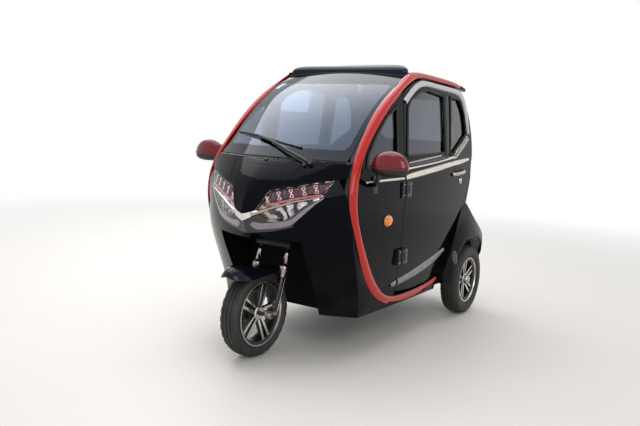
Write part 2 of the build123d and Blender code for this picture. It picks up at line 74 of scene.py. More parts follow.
view = Vector((-math.sin(YAW) * math.cos(PITCH), math.cos(YAW) * math.cos(PITCH),
               -math.sin(PITCH)))
level = Vector((math.cos(YAW), math.sin(YAW), 0))
upright = level.cross(view)
right = level * math.cos(ROLL) + upright * math.sin(ROLL)
up = upright * math.cos(ROLL) - level * math.sin(ROLL)


def placed(name, data):
    """A new object with that data, linked to the scene."""
    made = bpy.data.objects.new(name, data)
    bpy.context.collection.objects.link(made)
    return made


camera = placed("camera", bpy.data.cameras.new("camera"))
camera.data.lens = LENS_MM
camera.data.sensor_width = SENSOR_MM
turn = Matrix((right, up, -view)).transposed().to_4x4()
camera.matrix_world = Matrix.Translation(CAMERA_AT) @ turn
bpy.context.scene.camera = camera
print("camera looks along", tuple(round(c, 3) for c in view))

# %% [markdown]
# ## Colours and nodes
# Colours are written as sRGB hex, as a paint chart gives them, and one function turns them to
# the linear values that Blender works in. One more function adds a shader node, so that each
# material below reads as a short list of what feeds what.

# %% Helpers for colours and nodes
def colour(code):
    """Linear RGBA from an sRGB hex code such as c83a31."""
    parts = [int(code[i:i + 2], 16) / 255 for i in (0, 2, 4)]
    return tuple(c / 12.92 if c <= 0.04045 else ((c + 0.055) / 1.055) ** 2.4 for c in parts) + (1,)


def add(owner, kind, inputs=None, **settings):
    """Adds one node: settings are its properties, inputs are values or sockets that feed it."""
    tree = owner.node_tree
    made = tree.nodes.new("ShaderNode" + kind)
    for name, value in settings.items():
        setattr(made, name, value)
    for name, value in (inputs or {}).items():
        if isinstance(value, bpy.types.NodeSocket):
            tree.links.new(value, made.inputs[name])
        else:
            made.inputs[name].default_value = value
    return made


def material(name, code, roughness, **sockets):
    """A material with one Principled shader; returns it, its shader and its coordinates."""
    made = bpy.data.materials.new(name)
    made.use_nodes = True
    shader = made.node_tree.nodes["Principled BSDF"]
    shader.inputs["Base Color"].default_value = colour(code)
    shader.inputs["Roughness"].default_value = roughness
    for socket, value in sockets.items():
        shader.inputs[socket.replace("_", " ")].default_value = value
    place = add(made, "TexCoord").outputs["Object"]
    return made, shader, place


def per_mm(size):
    """Texture scale at which one feature of the pattern is that many millimetres wide."""
    return 1000 / size


def noise(made, place, size_mm, detail=3.0):
    """Cloudy noise from 0 to 1, its lumps that many millimetres wide."""
    return add(made, "TexNoise", {"Vector": place, "Scale": per_mm(size_mm),
                                  "Detail": detail}).outputs["Fac"]


def calc(made, operation, *values):
    """One step of arithmetic on values or sockets."""
    return add(made, "Math", dict(enumerate(values)), operation=operation).outputs[0]


print("helpers for colours and nodes ready")

# %% [markdown]
# ## Blending
# These helpers map one range of values to another, blend two colours, give a relief, and let a
# base colour drift a little, so that no surface is of one flat tone.

# %% Helpers that blend
def ramp(made, factor, low, high, a, b):
    """Maps factor from low..high to a..b."""
    return add(made, "MapRange", {"Value": factor, "From Min": low, "From Max": high,
                                  "To Min": a, "To Max": b}).outputs["Result"]


def mix(made, factor, a, b):
    """Blends two colours, each a hex code or a socket."""
    a, b = (colour(c) if isinstance(c, str) else c for c in (a, b))
    return add(made, "Mix", {0: factor, 6: a, 7: b}, data_type="RGBA").outputs[2]


def bump(made, shader, height, depth_mm):
    """Gives the shader a relief of that depth."""
    out = add(made, "Bump", {"Height": height, "Distance": depth_mm / 1000, "Strength": 1})
    made.node_tree.links.new(out.outputs["Normal"], shader.inputs["Normal"])


def feed(made, socket, value):
    """Connects a value to a socket."""
    made.node_tree.links.new(value, socket)


def mottled(made, shader, place, a, b, size_mm):
    """Lets the colour drift between two near shades, as dye does in a moulding."""
    cloud = ramp(made, noise(made, place, size_mm), 0.35, 0.65, 0.0, 1.0)
    feed(made, shader.inputs["Base Color"], mix(made, cloud, a, b))
    return made


def dimmed(code, share):
    """The same colour, darker by that share, as hex."""
    return "".join(f"{round(int(code[i:i + 2], 16) * (1 - share)):02x}" for i in (0, 2, 4))


print("helpers that blend ready")

# %% [markdown]
# ## Paints
# The body is sprayed in a solid black under clear lacquer. Close up such paint has a faint
# orange peel, ripples a few millimetres wide, and road dust gathers low down. Both are kept
# weak, because gloss black shows every ripple.

# %% Sprayed paints
# A pale blue tint of the reflections on paint and ceramic: a painted sky colour in their
# highlights.
PAINTED_SKY_TINT = colour("b9c6dc")
PEEL_MM, PEEL_DEPTH_MM = 9, 0.012
DUST_ENDS_Z, DUST_FULL_Z = 0.62, 0.2


def sprayed(name, code, dust, coat, level=0.2):
    """Two-layer vehicle paint with orange peel and a little dust towards the ground."""
    made, shader, place = material(name, code, 0.05, Coat_Weight=coat, Coat_Roughness=0.02,
                                   Coat_IOR=1.4, Specular_IOR_Level=level,
                                   Specular_Tint=PAINTED_SKY_TINT)
    bump(made, shader, noise(made, place, PEEL_MM, 2.0), PEEL_DEPTH_MM)
    height = add(made, "SeparateXYZ", {"Vector": place}).outputs["Z"]
    low = ramp(made, height, DUST_ENDS_Z, DUST_FULL_Z, 0.0, 0.3 * dust)
    patchy = ramp(made, noise(made, place, 130, 6.0), 0.35, 0.75, 0.1, 1.0)
    dusty = calc(made, "MULTIPLY", low, patchy)
    feed(made, shader.inputs["Base Color"], mix(made, dusty, code, "6f675c"))
    feed(made, shader.inputs["Roughness"], ramp(made, dusty, 0.0, 0.3, 0.05, 0.45))
    return made


gloss_black = sprayed("gloss_black_paint", "06070a", 0.2, 0.05, 0.07)
# The roof is the body's black, drawn bluer and glossier: the blue is a painted reflection of the
# sky.
roof_black_with_painted_sky_tint = sprayed("roof_paint_with_painted_sky_tint", "111723", 0.0, 0.12, 0.2)
gloss_red = sprayed("gloss_red_paint", "b4231b", 0.2, 0.5)
deep_red = sprayed("deep_red_paint", "6d0f14", 0.1, 0.8)
# The front guard's paint is clean and a little bluer than the body's black: the blue is a painted
# reflection of the sky.
guard_black_with_painted_sky_tint = sprayed("guard_paint_with_painted_sky_tint", "0b0e15", 0.0, 0.15, 0.25)
# Light grey for the door frames: a painted reflection of the bright sky on glossy black frames.
frame_grey_painted_sky_reflection = sprayed("frame_grey_for_painted_sky_reflection", "c4c0c2", 0.0, 0.3)
print("paints:", gloss_black.name, gloss_red.name, deep_red.name)

# %% [markdown]
# ## Plastics and rubber
# Hinges, wiper and mirror feet are moulded in black polypropylene with a fine spark-eroded
# grain. Tyres and seals are rubber: darker, duller, with dust in their grooves.

# %% Moulded plastics and rubber
def moulded(name, code, roughness, grain_mm=0.9, depth_mm=0.03):
    """Moulded plastic with an even fine grain; grain is drawn coarser than life to show."""
    made, shader, place = material(name, code, roughness)
    bump(made, shader, noise(made, place, grain_mm), depth_mm)
    feed(made, shader.inputs["Roughness"],
         ramp(made, noise(made, place, 60, 4.0), 0.3, 0.7, roughness - 0.06, roughness + 0.08))
    return mottled(made, shader, place, code, dimmed(code, 0.12), 60)


black_plastic = moulded("grained_black_polypropylene", "17181a", 0.45)
trim_grey = moulded("grey_moulded_trim", "34353a", 0.38, 1.2, 0.02)
seal_rubber = moulded("epdm_seal_rubber", "0e0e0f", 0.62)
chassis_black = moulded("powder_coated_steel", "131415", 0.5, 1.6, 0.05)
underseal, shader, place = material("sprayed_underseal", "0a0a0b", 0.85, Specular_IOR_Level=0.15)
bump(underseal, shader, noise(underseal, place, 5, 4.0), 0.8)
mottled(underseal, shader, place, "0a0a0b", "060607", 30)

tyre_rubber, shader, place = material("tyre_rubber", "1c1c1e", 0.68)
bump(tyre_rubber, shader, noise(tyre_rubber, place, 3, 5.0), 0.12)
film = ramp(tyre_rubber, noise(tyre_rubber, place, 70, 6.0), 0.4, 0.75, 0.0, 0.3)
feed(tyre_rubber, shader.inputs["Base Color"], mix(tyre_rubber, film, "1c1c1e", "5b554d"))
print("plastics and rubber ready")

# %% [markdown]
# ## Metals
# Wheel faces are turned aluminium under lacquer, with fine rings left by the tool. Fork
# slides are hard chromed, brake parts are cast or ground.

# %% Metals
def bare_metal(name, code, roughness, blot_mm=40, grain_mm=1.2, depth_mm=0.01):
    """Metal with its own colour, a fine surface grain and uneven sheen."""
    made, shader, place = material(name, code, roughness, Metallic=1.0)
    bump(made, shader, noise(made, place, grain_mm, 2.0), depth_mm)
    feed(made, shader.inputs["Roughness"],
         ramp(made, noise(made, place, blot_mm), 0.3, 0.7, roughness * 0.75, roughness * 1.3))
    return mottled(made, shader, place, code, dimmed(code, 0.06), blot_mm)


turned_alloy = bare_metal("turned_aluminium", "d6d3cf", 0.26)
cast_alloy = bare_metal("cast_aluminium", "a9a3a1", 0.42, 30, 1.5, 0.05)
# Darker than bright chrome: a painted reflection of the dark surroundings.
chrome_darkened_for_painted_reflection = bare_metal("chrome_darkened_for_painted_reflection", "a9a8ab", 0.1)
ground_steel = bare_metal("ground_steel", "9b9a98", 0.3)
mirror_silver = bare_metal("mirror_silver", "e9ebec", 0.02, 60, 5.0, 0.0)
print("metals ready")

# %% [markdown]
# ## Glass and lenses
# Vehicle glass is thin and slightly tinted. It is drawn as real panes with an inner and an
# outer face, so the tint lies in the glass and the far windows show through the near ones.

# %% Glass and lenses
def clear(name, code, ior):
    """A transparent moulding or pane."""
    # The pale blue tint of their reflections is a painted sky colour.
    return material(name, code, 0.0, Transmission_Weight=1.0, IOR=ior,
                    Specular_Tint=colour("c9d6ee"))


tinted_glass, shader, place = clear("tinted_glass", "8b9298", ior=1.5)
feed(tinted_glass, shader.inputs["Roughness"],
     ramp(tinted_glass, noise(tinted_glass, place, 180), 0.45, 0.8, 0.0, 0.012))
mottled(tinted_glass, shader, place, "8b9298", "878e95", 200)
lamp_clear = mottled(*clear("clear_polycarbonate", "fbfbfd", ior=1.3), "fbfbfd", "f3f4f8", 40)
light_guide, shader, place = material("light_guide_acrylic", "9b93a4", 0.16,
                                      Transmission_Weight=0.25, Coat_Weight=0.6)
mottled(light_guide, shader, place, "9b93a4", "8d8597", 30)
ribs = add(light_guide, "TexWave", {"Vector": place, "Scale": per_mm(40)}, bands_direction="X")
bump(light_guide, shader, ribs.outputs["Fac"], 0.25)
ruby, shader, place = material("ruby_lens", "8e0f14", 0.12, Transmission_Weight=0.2,
                               Coat_Weight=0.5)
mottled(ruby, shader, place, "8e0f14", "5f080c", 30)
prisms = add(ruby, "TexVoronoi", {"Vector": place, "Scale": per_mm(7)}, distance="CHEBYCHEV")
bump(ruby, shader, prisms.outputs["Distance"], 0.5)
print("glass ready")

# %% [markdown]
# ## Finish of each CAD piece
# Every CAD piece that stays gets one of these finishes in place of its plain colour.

# %% Give the CAD pieces their finishes
FINISH = {
    gloss_black: ["bonnet", "front_cowl", "quarter_panels", "door_left", "door_right",
                  "rear_body", "fenders", "rear_bumper", "rear_spoiler", "sills"],
    roof_black_with_painted_sky_tint: ["roof"],
    guard_black_with_painted_sky_tint: ["front_mudguard"],
    gloss_red: ["red_arches"],
    deep_red: ["mirror_shells"],
    trim_grey: ["nose_trim", "dashboard"],
    black_plastic: ["mirror_bases", "mirror_arms", "hinge_leaves", "hinge_knuckles_left",
                    "hinge_knuckles_right", "plate_holder", "battery_pack"],
    underseal: ["wheel_well", "wheel_housings", "floor_pan"],
    chassis_black: ["chassis_frame", "rear_axle", "rear_springs", "handlebar"],
    tinted_glass: ["windscreen", "door_glass_left", "door_glass_right", "quarter_glass",
                   "rear_window"],
    lamp_clear: ["headlamps"],
    light_guide: ["drl_strips"],
    cast_alloy: ["fork_lower", "brake_caliper", "nose_chrome"],
    chrome_darkened_for_painted_reflection: ["fork_upper", "door_handle_left", "door_handle_right"],
    turned_alloy: ["front_rim", "rear_rim_left", "rear_rim_right"],
    ground_steel: ["brake_disc"],
    mirror_silver: ["mirror_glass"],
    ruby: ["tail_lamps", "turn_lamps"],
    tyre_rubber: ["front_tyre", "rear_tyre_left", "rear_tyre_right"],
    seal_rubber: ["driver_seat", "rear_seat"],
}
for made, names in FINISH.items():
    for name in names:
        for slot in frame["nodes"][name].material_slots:
            slot.material = made
left_plain = set(frame["nodes"]) - {n for names in FINISH.values() for n in names}
print("pieces without a finish:", left_plain)

# %% [markdown]
# ## Floor and light
# A pale floor and a white surround, as in a studio for vehicles. The surround is white only
# where the camera, a reflection or a pane looks at it; the light that falls on the vehicle
# comes from a dimmer copy of it, so nothing is washed out.

# %% Floor and surround
FADE_STARTS, FADE_ENDS = 2.4, 7.0      # metres from the vehicle at which the floor turns white
DIM_SURROUND = 0.55


def looked_at(owner):
    """1 where the camera, a reflection or a pane looks at something, else 0."""
    path = add(owner, "LightPath").outputs
    seen = calc(owner, "MAXIMUM", path["Is Camera Ray"], path["Is Transmission Ray"])
    return calc(owner, "MAXIMUM", seen, path["Is Glossy Ray"])


concrete, shader, place = material("pale_floor", "dddad5", 0.6)
feed(concrete, shader.inputs["Base Color"],
     mix(concrete, noise(concrete, place, 900, 5.0), "dad7d2", "e2dfda"))
away = add(concrete, "VectorMath", {0: place}, operation="LENGTH").outputs["Value"]
far = calc(concrete, "MULTIPLY", looked_at(concrete),
           ramp(concrete, away, FADE_STARTS, FADE_ENDS, 0.0, 1.0))
white = add(concrete, "Emission", {"Color": (1, 1, 1, 1), "Strength": 1.0})
faded = add(concrete, "MixShader", {0: far, 1: shader.outputs[0], 2: white.outputs[0]})
feed(concrete, concrete.node_tree.nodes["Material Output"].inputs["Surface"], faded.outputs[0])

floor_mesh = bmesh.new()
bmesh.ops.create_grid(floor_mesh, x_segments=2, y_segments=2, size=40)
floor = placed("floor", bpy.data.meshes.new("floor"))
floor_mesh.to_mesh(floor.data)
floor_mesh.free()
floor.data.materials.append(concrete)

world = bpy.data.worlds.new("surround")
bpy.context.scene.world = world
world.use_nodes = True
background = world.node_tree.nodes["Background"]
background.inputs["Color"].default_value = (1, 1, 1, 1)
feed(world, background.inputs["Strength"],
     ramp(world, looked_at(world), 0.0, 1.0, DIM_SURROUND, 1.0))
print("floor and surround ready")

# %% [markdown]
# ## Lamps
# The largest lamp hangs over the right side, one stands at the front left and the weakest at
# the rear right. They are square, and large enough to give soft shadows.

# %% Soft lamps
#        name          stands at          faces              side, watts
LAMPS = [("overhead", (-1.2, 0.2, 4.2), (-1.0, 0.1, 0.6), 5.0, 170),
         ("front_left", (4.2, -3.6, 3.0), (0, -0.2, 0.7), 3.0, 90),
         ("rear_right", (-4.0, 3.2, 2.8), (0, 0.2, 0.7), 3.0, 60)]
for name, at, towards, size, watts in LAMPS:
    lamp = placed(name, bpy.data.lights.new(name, "AREA"))
    lamp.data.size = size
    lamp.data.energy = watts
    lamp.location = at
    lamp.rotation_euler = (Vector(towards) - Vector(at)).to_track_quat("-Z", "Y").to_euler()
bpy.context.scene.view_settings.view_transform = "Standard"
print("lamps:", len(LAMPS))

# %% [markdown]
# ## Lines and surfaces to build on
# Trim follows the skin of the body, so it is laid on the CAD panels: a ray from the side or the
# front finds the skin at a height, and a smooth line through a few such points carries the
# trim. Each finished piece gets a finish and a body to ride on.

# %% Helpers that find the skin
def skin_of(*names):
    """A search tree over the named CAD pieces."""
    corners, faces = [], []
    for name in names:
        mesh = frame["nodes"][name].data
        first = len(corners)
        corners += [v.co.copy() for v in mesh.vertices]
        faces += [[first + i for i in p.vertices] for p in mesh.polygons]
    return BVHTree.FromPolygons(corners, faces)


INBOARD, BACKWARD, DOWNWARD = Vector((-1, 0, 0)), Vector((0, 1, 0)), Vector((0, 0, -1))
LEFT_OF_ALL, AHEAD_OF_ALL = 1.2, -2.5      # x and y at which the rays start
SIDE_X, FRONT_Y = 0.46, -0.7               # where the skin is taken to be if a ray misses it
SIDE = skin_of("door_left", "quarter_panels", "rear_body", "red_arches", "front_cowl", "roof",
               "door_glass_left", "quarter_glass", "sills", "fenders")
FRONT = skin_of("front_cowl", "bonnet", "headlamps", "drl_strips", "nose_trim", "red_arches",
                "windscreen", "roof")


def on_side(y, z, lift=0.0):
    """Point on the left side of the body, lifted off it by that much, in metres."""
    hit = SIDE.ray_cast(Vector((LEFT_OF_ALL, y, z)), INBOARD)[0]
    return Vector((SIDE_X, y, z)) if hit is None else hit + Vector((lift, 0, 0))


def on_front(x, z, lift=0.0):
    """Point on the front of the body, lifted forwards."""
    hit = FRONT.ray_cast(Vector((x, AHEAD_OF_ALL, z)), BACKWARD)[0]
    return Vector((x, FRONT_Y, z)) if hit is None else hit + Vector((0, -lift, 0))


def smooth_line(points, count):
    """That many evenly spaced points on a smooth line through the given ones."""
    knots = [Vector(p) for p in points]
    knots = [2 * knots[0] - knots[1]] + knots + [2 * knots[-1] - knots[-2]]
    dense = []
    for a, b, c, d in zip(knots, knots[1:], knots[2:], knots[3:]):
        for t in (i / 12 for i in range(12)):
            dense.append(0.5 * (2 * b + (c - a) * t + (2 * a - 5 * b + 4 * c - d) * t * t
                                + (3 * b - a - 3 * c + d) * t ** 3))
    dense.append(knots[-2])
    run = [0.0]
    for p, q in zip(dense, dense[1:]):
        run.append(run[-1] + (q - p).length)
    line, k = [], 0
    for i in range(count):
        target = run[-1] * i / (count - 1)
        while k < len(run) - 2 and run[k + 1] < target:
            k += 1
        share = (target - run[k]) / max(run[k + 1] - run[k], 1e-9)
        line.append(dense[k].lerp(dense[k + 1], share))
    return line


print("side skin at the belt", tuple(round(c, 3) for c in on_side(0.1, 0.9)))

# %% [markdown]
# ## Tools that make a piece
# A piece is drawn as a bmesh, written to an object at the origin and given its finish and its
# body. A piece of the left side can be copied to the right as its mirror image.

# %% Helpers that finish a piece
def handed_over(piece, body, replaces):
    """Gives a piece its body and the CAD pieces that it takes the place of."""
    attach(piece, body)
    if replaces:
        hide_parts(*replaces)
    return piece


def keep(name, shape, finish, body, both_sides=False, smooth=True, replaces=()):
    """Writes a bmesh to a new object, with its finish and its body."""
    if both_sides:
        bmesh.ops.mirror(shape, geom=shape.verts[:] + shape.edges[:] + shape.faces[:],
                         axis="X", merge_dist=-1)
    bmesh.ops.recalc_face_normals(shape, faces=shape.faces)
    piece = placed(name, bpy.data.meshes.new(name))
    shape.to_mesh(piece.data)
    shape.free()
    for one in finish if isinstance(finish, tuple) else (finish,):
        piece.data.materials.append(one)
    for face in piece.data.polygons:
        face.use_smooth = smooth
    return handed_over(piece, body, replaces)


def crease(piece, degrees=35):
    """Keeps edges sharper than the angle crisp on a smooth shaded piece."""
    limit = math.radians(degrees)
    shape = bmesh.new()
    shape.from_mesh(piece.data)
    for edge in shape.edges:
        edge.smooth = len(edge.link_faces) == 2 and edge.calc_face_angle(0) < limit
    shape.to_mesh(piece.data)
    shape.free()
    return piece


def opposite(piece, name, body, replaces=()):
    """The same piece for the other side of the vehicle."""
    twin = placed(name, piece.data.copy())
    twin.data.transform(Matrix.Scale(-1, 4, (1, 0, 0)))
    twin.data.flip_normals()
    return handed_over(twin, body, replaces)


print("helpers that finish a piece ready")

# %% [markdown]
# ## Sheets, turned shapes and beads
# A sheet is stretched between lines of points. A turned shape is a profile spun about an axis,
# and a bead is a round section that runs along a line.

# %% Helpers for sheets, turned shapes and beads
def sheet_between(rails, wall=0.0, inward=None):
    """A strip of faces through equally long lines of points, given a wall if asked."""
    shape = bmesh.new()
    rows, columns = len(rails), len(rails[0])
    bmesh.ops.create_grid(shape, x_segments=columns - 1, y_segments=rows - 1, size=0.5)
    for v in shape.verts:
        i = round((v.co.x + 0.5) * (columns - 1))
        j = round((v.co.y + 0.5) * (rows - 1))
        v.co = rails[j][i]
    if wall:
        thicken(shape, wall, inward)
    return shape


def thicken(shape, wall, inward):
    """Gives an open sheet a wall, on the side that inward points to."""
    shape.normal_update()
    total = sum((f.normal * f.calc_area() for f in shape.faces), Vector())
    if total.dot(inward) > 0:
        bmesh.ops.reverse_faces(shape, faces=shape.faces)
        shape.normal_update()
    bmesh.ops.solidify(shape, geom=shape.faces[:], thickness=wall)


def turned(profile, centre, steps=96):
    """A closed outline of (x, radius) points turned about the line along X through centre."""
    shape = bmesh.new()
    ring = [shape.verts.new((centre[0] + x, centre[1], centre[2] + r)) for x, r in profile]
    edges = [shape.edges.new((a, b)) for a, b in zip(ring, ring[1:] + ring[:1])]
    bmesh.ops.spin(shape, geom=ring + edges, cent=centre, axis=(1, 0, 0), dvec=(0, 0, 0),
                   angle=2 * math.pi, steps=steps, use_merge=True)
    bmesh.ops.remove_doubles(shape, verts=shape.verts, dist=1e-5)
    return shape


def merged(*shapes):
    """Several bmeshes as one."""
    whole = bmesh.new()
    for shape in shapes:
        part = bpy.data.meshes.new("part")
        shape.to_mesh(part)
        shape.free()
        whole.from_mesh(part)
        bpy.data.meshes.remove(part)
    return whole


def piping(points, radius, closed=False, sides=4):
    """A round bead along a line of points, as a bmesh."""
    curve = bpy.data.curves.new("bead", "CURVE")
    curve.dimensions = "3D"
    curve.bevel_depth = radius
    curve.bevel_resolution = sides
    curve.use_fill_caps = True
    spline = curve.splines.new("POLY")
    spline.points.add(len(points) - 1)
    for knot, p in zip(spline.points, points):
        knot.co = (*p, 1)
    spline.use_cyclic_u = closed
    holder = bpy.data.objects.new("bead", curve)
    mesh = bpy.data.meshes.new_from_object(holder)
    shape = bmesh.new()
    shape.from_mesh(mesh)
    for thing, store in ((holder, bpy.data.objects), (curve, bpy.data.curves),
                         (mesh, bpy.data.meshes)):
        store.remove(thing)
    return shape


print("helpers for sheets, turned shapes and beads ready")

# %% [markdown]
# ## Small solids and closed lines
# Plugs, discs, ovals and bars are drawn at the origin, facing up, and then stood on the surface
# that they belong to. Closed lines with rounded corners carry the seals.

# %% Helpers for small solids and closed lines
def stand_on(shape, at, normal, up=(0, 0, 1)):
    """Turns a shape that faces +Z with +Y up to a surface's normal and moves it there."""
    z = Vector(normal).normalized()
    x = Vector(up).cross(z).normalized()
    turn = Matrix((x, z.cross(x), z)).transposed().to_4x4()
    turn.translation = Vector(at)
    bmesh.ops.transform(shape, matrix=turn, verts=shape.verts)
    return shape


def round_off(shape, edges, radius, segments=2, **more):
    """Rolls edges over with a bevel."""
    bmesh.ops.bevel(shape, geom=edges, offset=radius, segments=segments, profile=0.5,
                    affect="EDGES", material=-1, **more)
    return shape


def plug(radius, top_radius, depth, sides):
    """A round or many-sided plug around the origin."""
    shape = bmesh.new()
    bmesh.ops.create_cone(shape, cap_ends=True, segments=sides, radius1=radius,
                          radius2=top_radius, depth=depth)
    return shape


def disc(radius, depth, shrink, sides):
    """A round plug that stands on z = 0, slightly smaller at its face, with a soft rim."""
    shape = plug(radius, radius * shrink, depth, sides)
    bmesh.ops.translate(shape, vec=(0, 0, depth / 2), verts=shape.verts)
    top = [e for e in shape.edges if all(v.co.z > depth * 0.9 for v in e.verts)]
    return round_off(shape, top, depth * 0.3)


def oval(size, shrink, sides):
    """A disc drawn out to that width, height and thickness."""
    shape = disc(0.5, 1.0, shrink, sides)
    bmesh.ops.scale(shape, vec=size, verts=shape.verts)
    return shape


def sharp_box(size=(1, 1, 1)):
    """A box of that size around the origin."""
    shape = bmesh.new()
    bmesh.ops.create_cube(shape, size=1.0)
    bmesh.ops.scale(shape, vec=size, verts=shape.verts)
    return shape


def bar(size, soften, segments=2):
    """A box of that size around the origin, its edges rounded."""
    shape = sharp_box(size)
    return round_off(shape, shape.edges[:], soften, segments)


def welded(node):
    """A copy of a CAD piece as a bmesh, its doubled points joined."""
    shape = bmesh.new()
    shape.from_mesh(frame["nodes"][node].data)
    bmesh.ops.remove_doubles(shape, verts=shape.verts, dist=2e-5)
    return shape


def rounded(points, radius, steps=5):
    """A flat outline with its corners rounded off."""
    line = []
    for i, b in enumerate(points):
        a, b, c = (Vector(points[(i + k) % len(points)]) for k in (-1, 0, 1))
        p = b + (a - b).normalized() * min(radius, (a - b).length / 2)
        q = b + (c - b).normalized() * min(radius, (c - b).length / 2)
        line += [p.lerp(b, t / steps).lerp(b.lerp(q, t / steps), t / steps)
                 for t in range(steps + 1)]
    return line


def loop_on(place, points, radius, lift, count=160):
    """A closed line with rounded corners; place lays each of its flat points on the body."""
    flat = rounded(points, radius)
    return [place(p.x, p.y, lift) for p in smooth_line(flat + flat[:1], count)][:-1]


print("helpers for small solids and closed lines ready")

# %% [markdown]
# ## Red side arches
# A moulded red arch runs from the rear of the roof down the screen pillar and back under the
# door. The CAD solid has its place and width; here it gets the full round section of the real
# moulding, as a strip of lines between its inner and outer edge that bulges in the middle.

# %% Red side arches
#              inner edge         outer edge, (y, z); on the nose (x, y, z), 0 where it is found
ARCH = [
    ((0.404, 0.680, 1.459), (0.391, 0.680, 1.472)), ((0.408, 0.605, 1.469), (0.388, 0.604, 1.489)),
    ((0.411, 0.446, 1.473), (0.387, 0.450, 1.498)), ((0.414, 0.295, 1.476), (0.387, 0.290, 1.502)),
    ((0.416, 0.128, 1.479), (0.387, 0.110, 1.503)), ((0.417, 0.058, 1.476), (0.388, 0.018, 1.502)),
    ((0.418, 0.001, 1.464), (0.391, -0.045, 1.4955)),
    ((0.421, -0.060, 1.441), (0.395, -0.105, 1.470)),
    ((0.4255, -0.132, 1.409), (0.396, -0.190, 1.414)),
    ((-0.258, 1.334), (0.391, -0.305, 1.340)), ((-0.376, 1.248), (0.394, -0.425, 1.250)),
    ((-0.486, 1.157), (0.407, -0.541, 1.140)), ((-0.572, 1.063), (0.418, -0.622, 1.046)),
    ((-0.630, 0.960), (0.436, -0.678, 0.960)), ((-0.660, 0.860), (0.444, -0.705, 0.860)),
    ((-0.650, 0.763), (0.449, -0.697, 0.765)), ((-0.600, 0.645), (0.4585, -0.660, 0.660)),
    ((-0.528, 0.536), (0.461, -0.603, 0.550)), ((-0.449, 0.431), (-0.525, 0.428)),
    ((-0.343, 0.334), (-0.405, 0.315)), ((-0.240, 0.284), (-0.260, 0.250)),
    ((-0.107, 0.268), (-0.115, 0.229)), ((0.045, 0.268), (0.040, 0.226)),
    ((0.205, 0.275), (0.215, 0.235)), ((0.313, 0.289), (0.335, 0.256)),
    ((0.392, 0.306), (0.400, 0.292)),
]
ARCH_SAMPLES, ARCH_ROWS = 150, 11
BULGE = 0.011                               # least height of the crest over its edges
EDGE_SINK, OVER_SOLID = 0.002, 0.002        # edges lie in the skin, the crest over the CAD arch
OVER_PANEL, CREST_OVER_PANEL = 0.002, 0.006


def arch_edge(point):
    """A point of the table in space."""
    if len(point) == 2:
        return on_side(*point)
    x, y, z = point
    return Vector(point) if y else Vector((x, on_front(x - 0.004, z).y, z))


def eased(values, reach, zero=0.0):
    """Each value as the mean of those up to that many places away."""
    windows = [values[max(0, i - reach):i + reach + 1] for i in range(len(values))]
    return [sum(window, zero) / len(window) for window in windows]


inner = smooth_line([arch_edge(a) for a, b in ARCH], ARCH_SAMPLES)
outer = smooth_line([arch_edge(b) for a, b in ARCH], ARCH_SAMPLES)
print("arch ends", [tuple(round(c, 3) for c in p) for p in (inner[0], outer[0])])
arch_skin = skin_of("red_arches")
panel_skin = skin_of("front_cowl", "quarter_panels", "windscreen", "roof")
rails = [[] for _ in range(ARCH_ROWS)]
for i, (a, b) in enumerate(zip(inner, outer)):
    run = inner[min(i + 1, ARCH_SAMPLES - 1)] - inner[max(i - 1, 0)]
    out = run.cross(b - a).normalized()
    out = -out if out.x < 0 else out
    for j, rail in enumerate(rails):
        share = j / (ARCH_ROWS - 1)
        base = a.lerp(b, share)
        swell = math.sin(math.pi * share) ** 0.6
        hit = arch_skin.ray_cast(base + out * 0.06, -out, 0.12)[0]
        rise = 0.0 if hit is None else max(0.0, (hit - base).dot(out))
        rail.append((base, out, swell, rise))
peak = eased([max(rail[i][3] for rail in rails) for i in range(ARCH_SAMPLES)], 5)
for rail in rails:
    lifts = []
    for i, (base, out, swell, rise) in enumerate(rail):
        point = base + out * (swell * max(BULGE, peak[i] + OVER_SOLID) - EDGE_SINK)
        cover = panel_skin.ray_cast(point + out * 0.04, -out, 0.04)[0]
        lifts.append(0.0 if cover is None
                     else (cover - point).dot(out) + OVER_PANEL + CREST_OVER_PANEL * swell)
        rail[i] = (point, out)
    widest = eased([max(lifts[max(0, i - 4):i + 5]) for i in range(ARCH_SAMPLES)], 4)
    for i, (point, out) in enumerate(rail):
        rail[i] = point + out * widest[i]
rails = [eased(rail, 2, Vector()) for rail in rails]
band = sheet_between(rails, 0.008, INBOARD)
keep("red_arch_mouldings", band, gloss_red, "body", both_sides=True,
     replaces=["red_arches"])
print("arch swells by", round(min(peak), 4), "to", round(max(peak), 4))

# %% [markdown]
# ## Bedding of the arch
# Between the arch and the windscreen pillar lies a strip of black rubber, as on the vehicle.

# %% Rubber bedding under the arch
bed_edge = [arch_edge((0.397, 0, z)) for z in (1.30, 1.24, 1.143, 1.06)]
bed_edge += [arch_edge((0.423, 0, z)) for z in (0.985, 0.90, 0.82, 0.74, 0.68)]
bed_inner = [arch_edge(p) for p in ((-0.300, 1.305), (-0.385, 1.240), (-0.490, 1.150),
                                    (-0.572, 1.063), (-0.620, 0.980), (-0.650, 0.900),
                                    (-0.660, 0.820), (-0.640, 0.740), (-0.615, 0.680))]
bed = [[], [], [], []]
for a, b in zip(smooth_line(bed_edge, 60), smooth_line(bed_inner, 60)):
    for rail, share in zip(bed, (0.0, 0.33, 0.67, 1.0)):
        rail.append(a.lerp(b, share) + Vector((-0.004, 0.003, 0)))
keep("arch_bedding", sheet_between(bed, 0.003, INBOARD), seal_rubber, "body",
     both_sides=True)
print("bedding of", len(bed), "lines with", len(bed[0]), "points")

# %% [markdown]
# ## Header rails
# Inside the roof edge a dark rail closes the slot over each door. It stays 10 mm inboard of the
# door, so the door swings free of it.

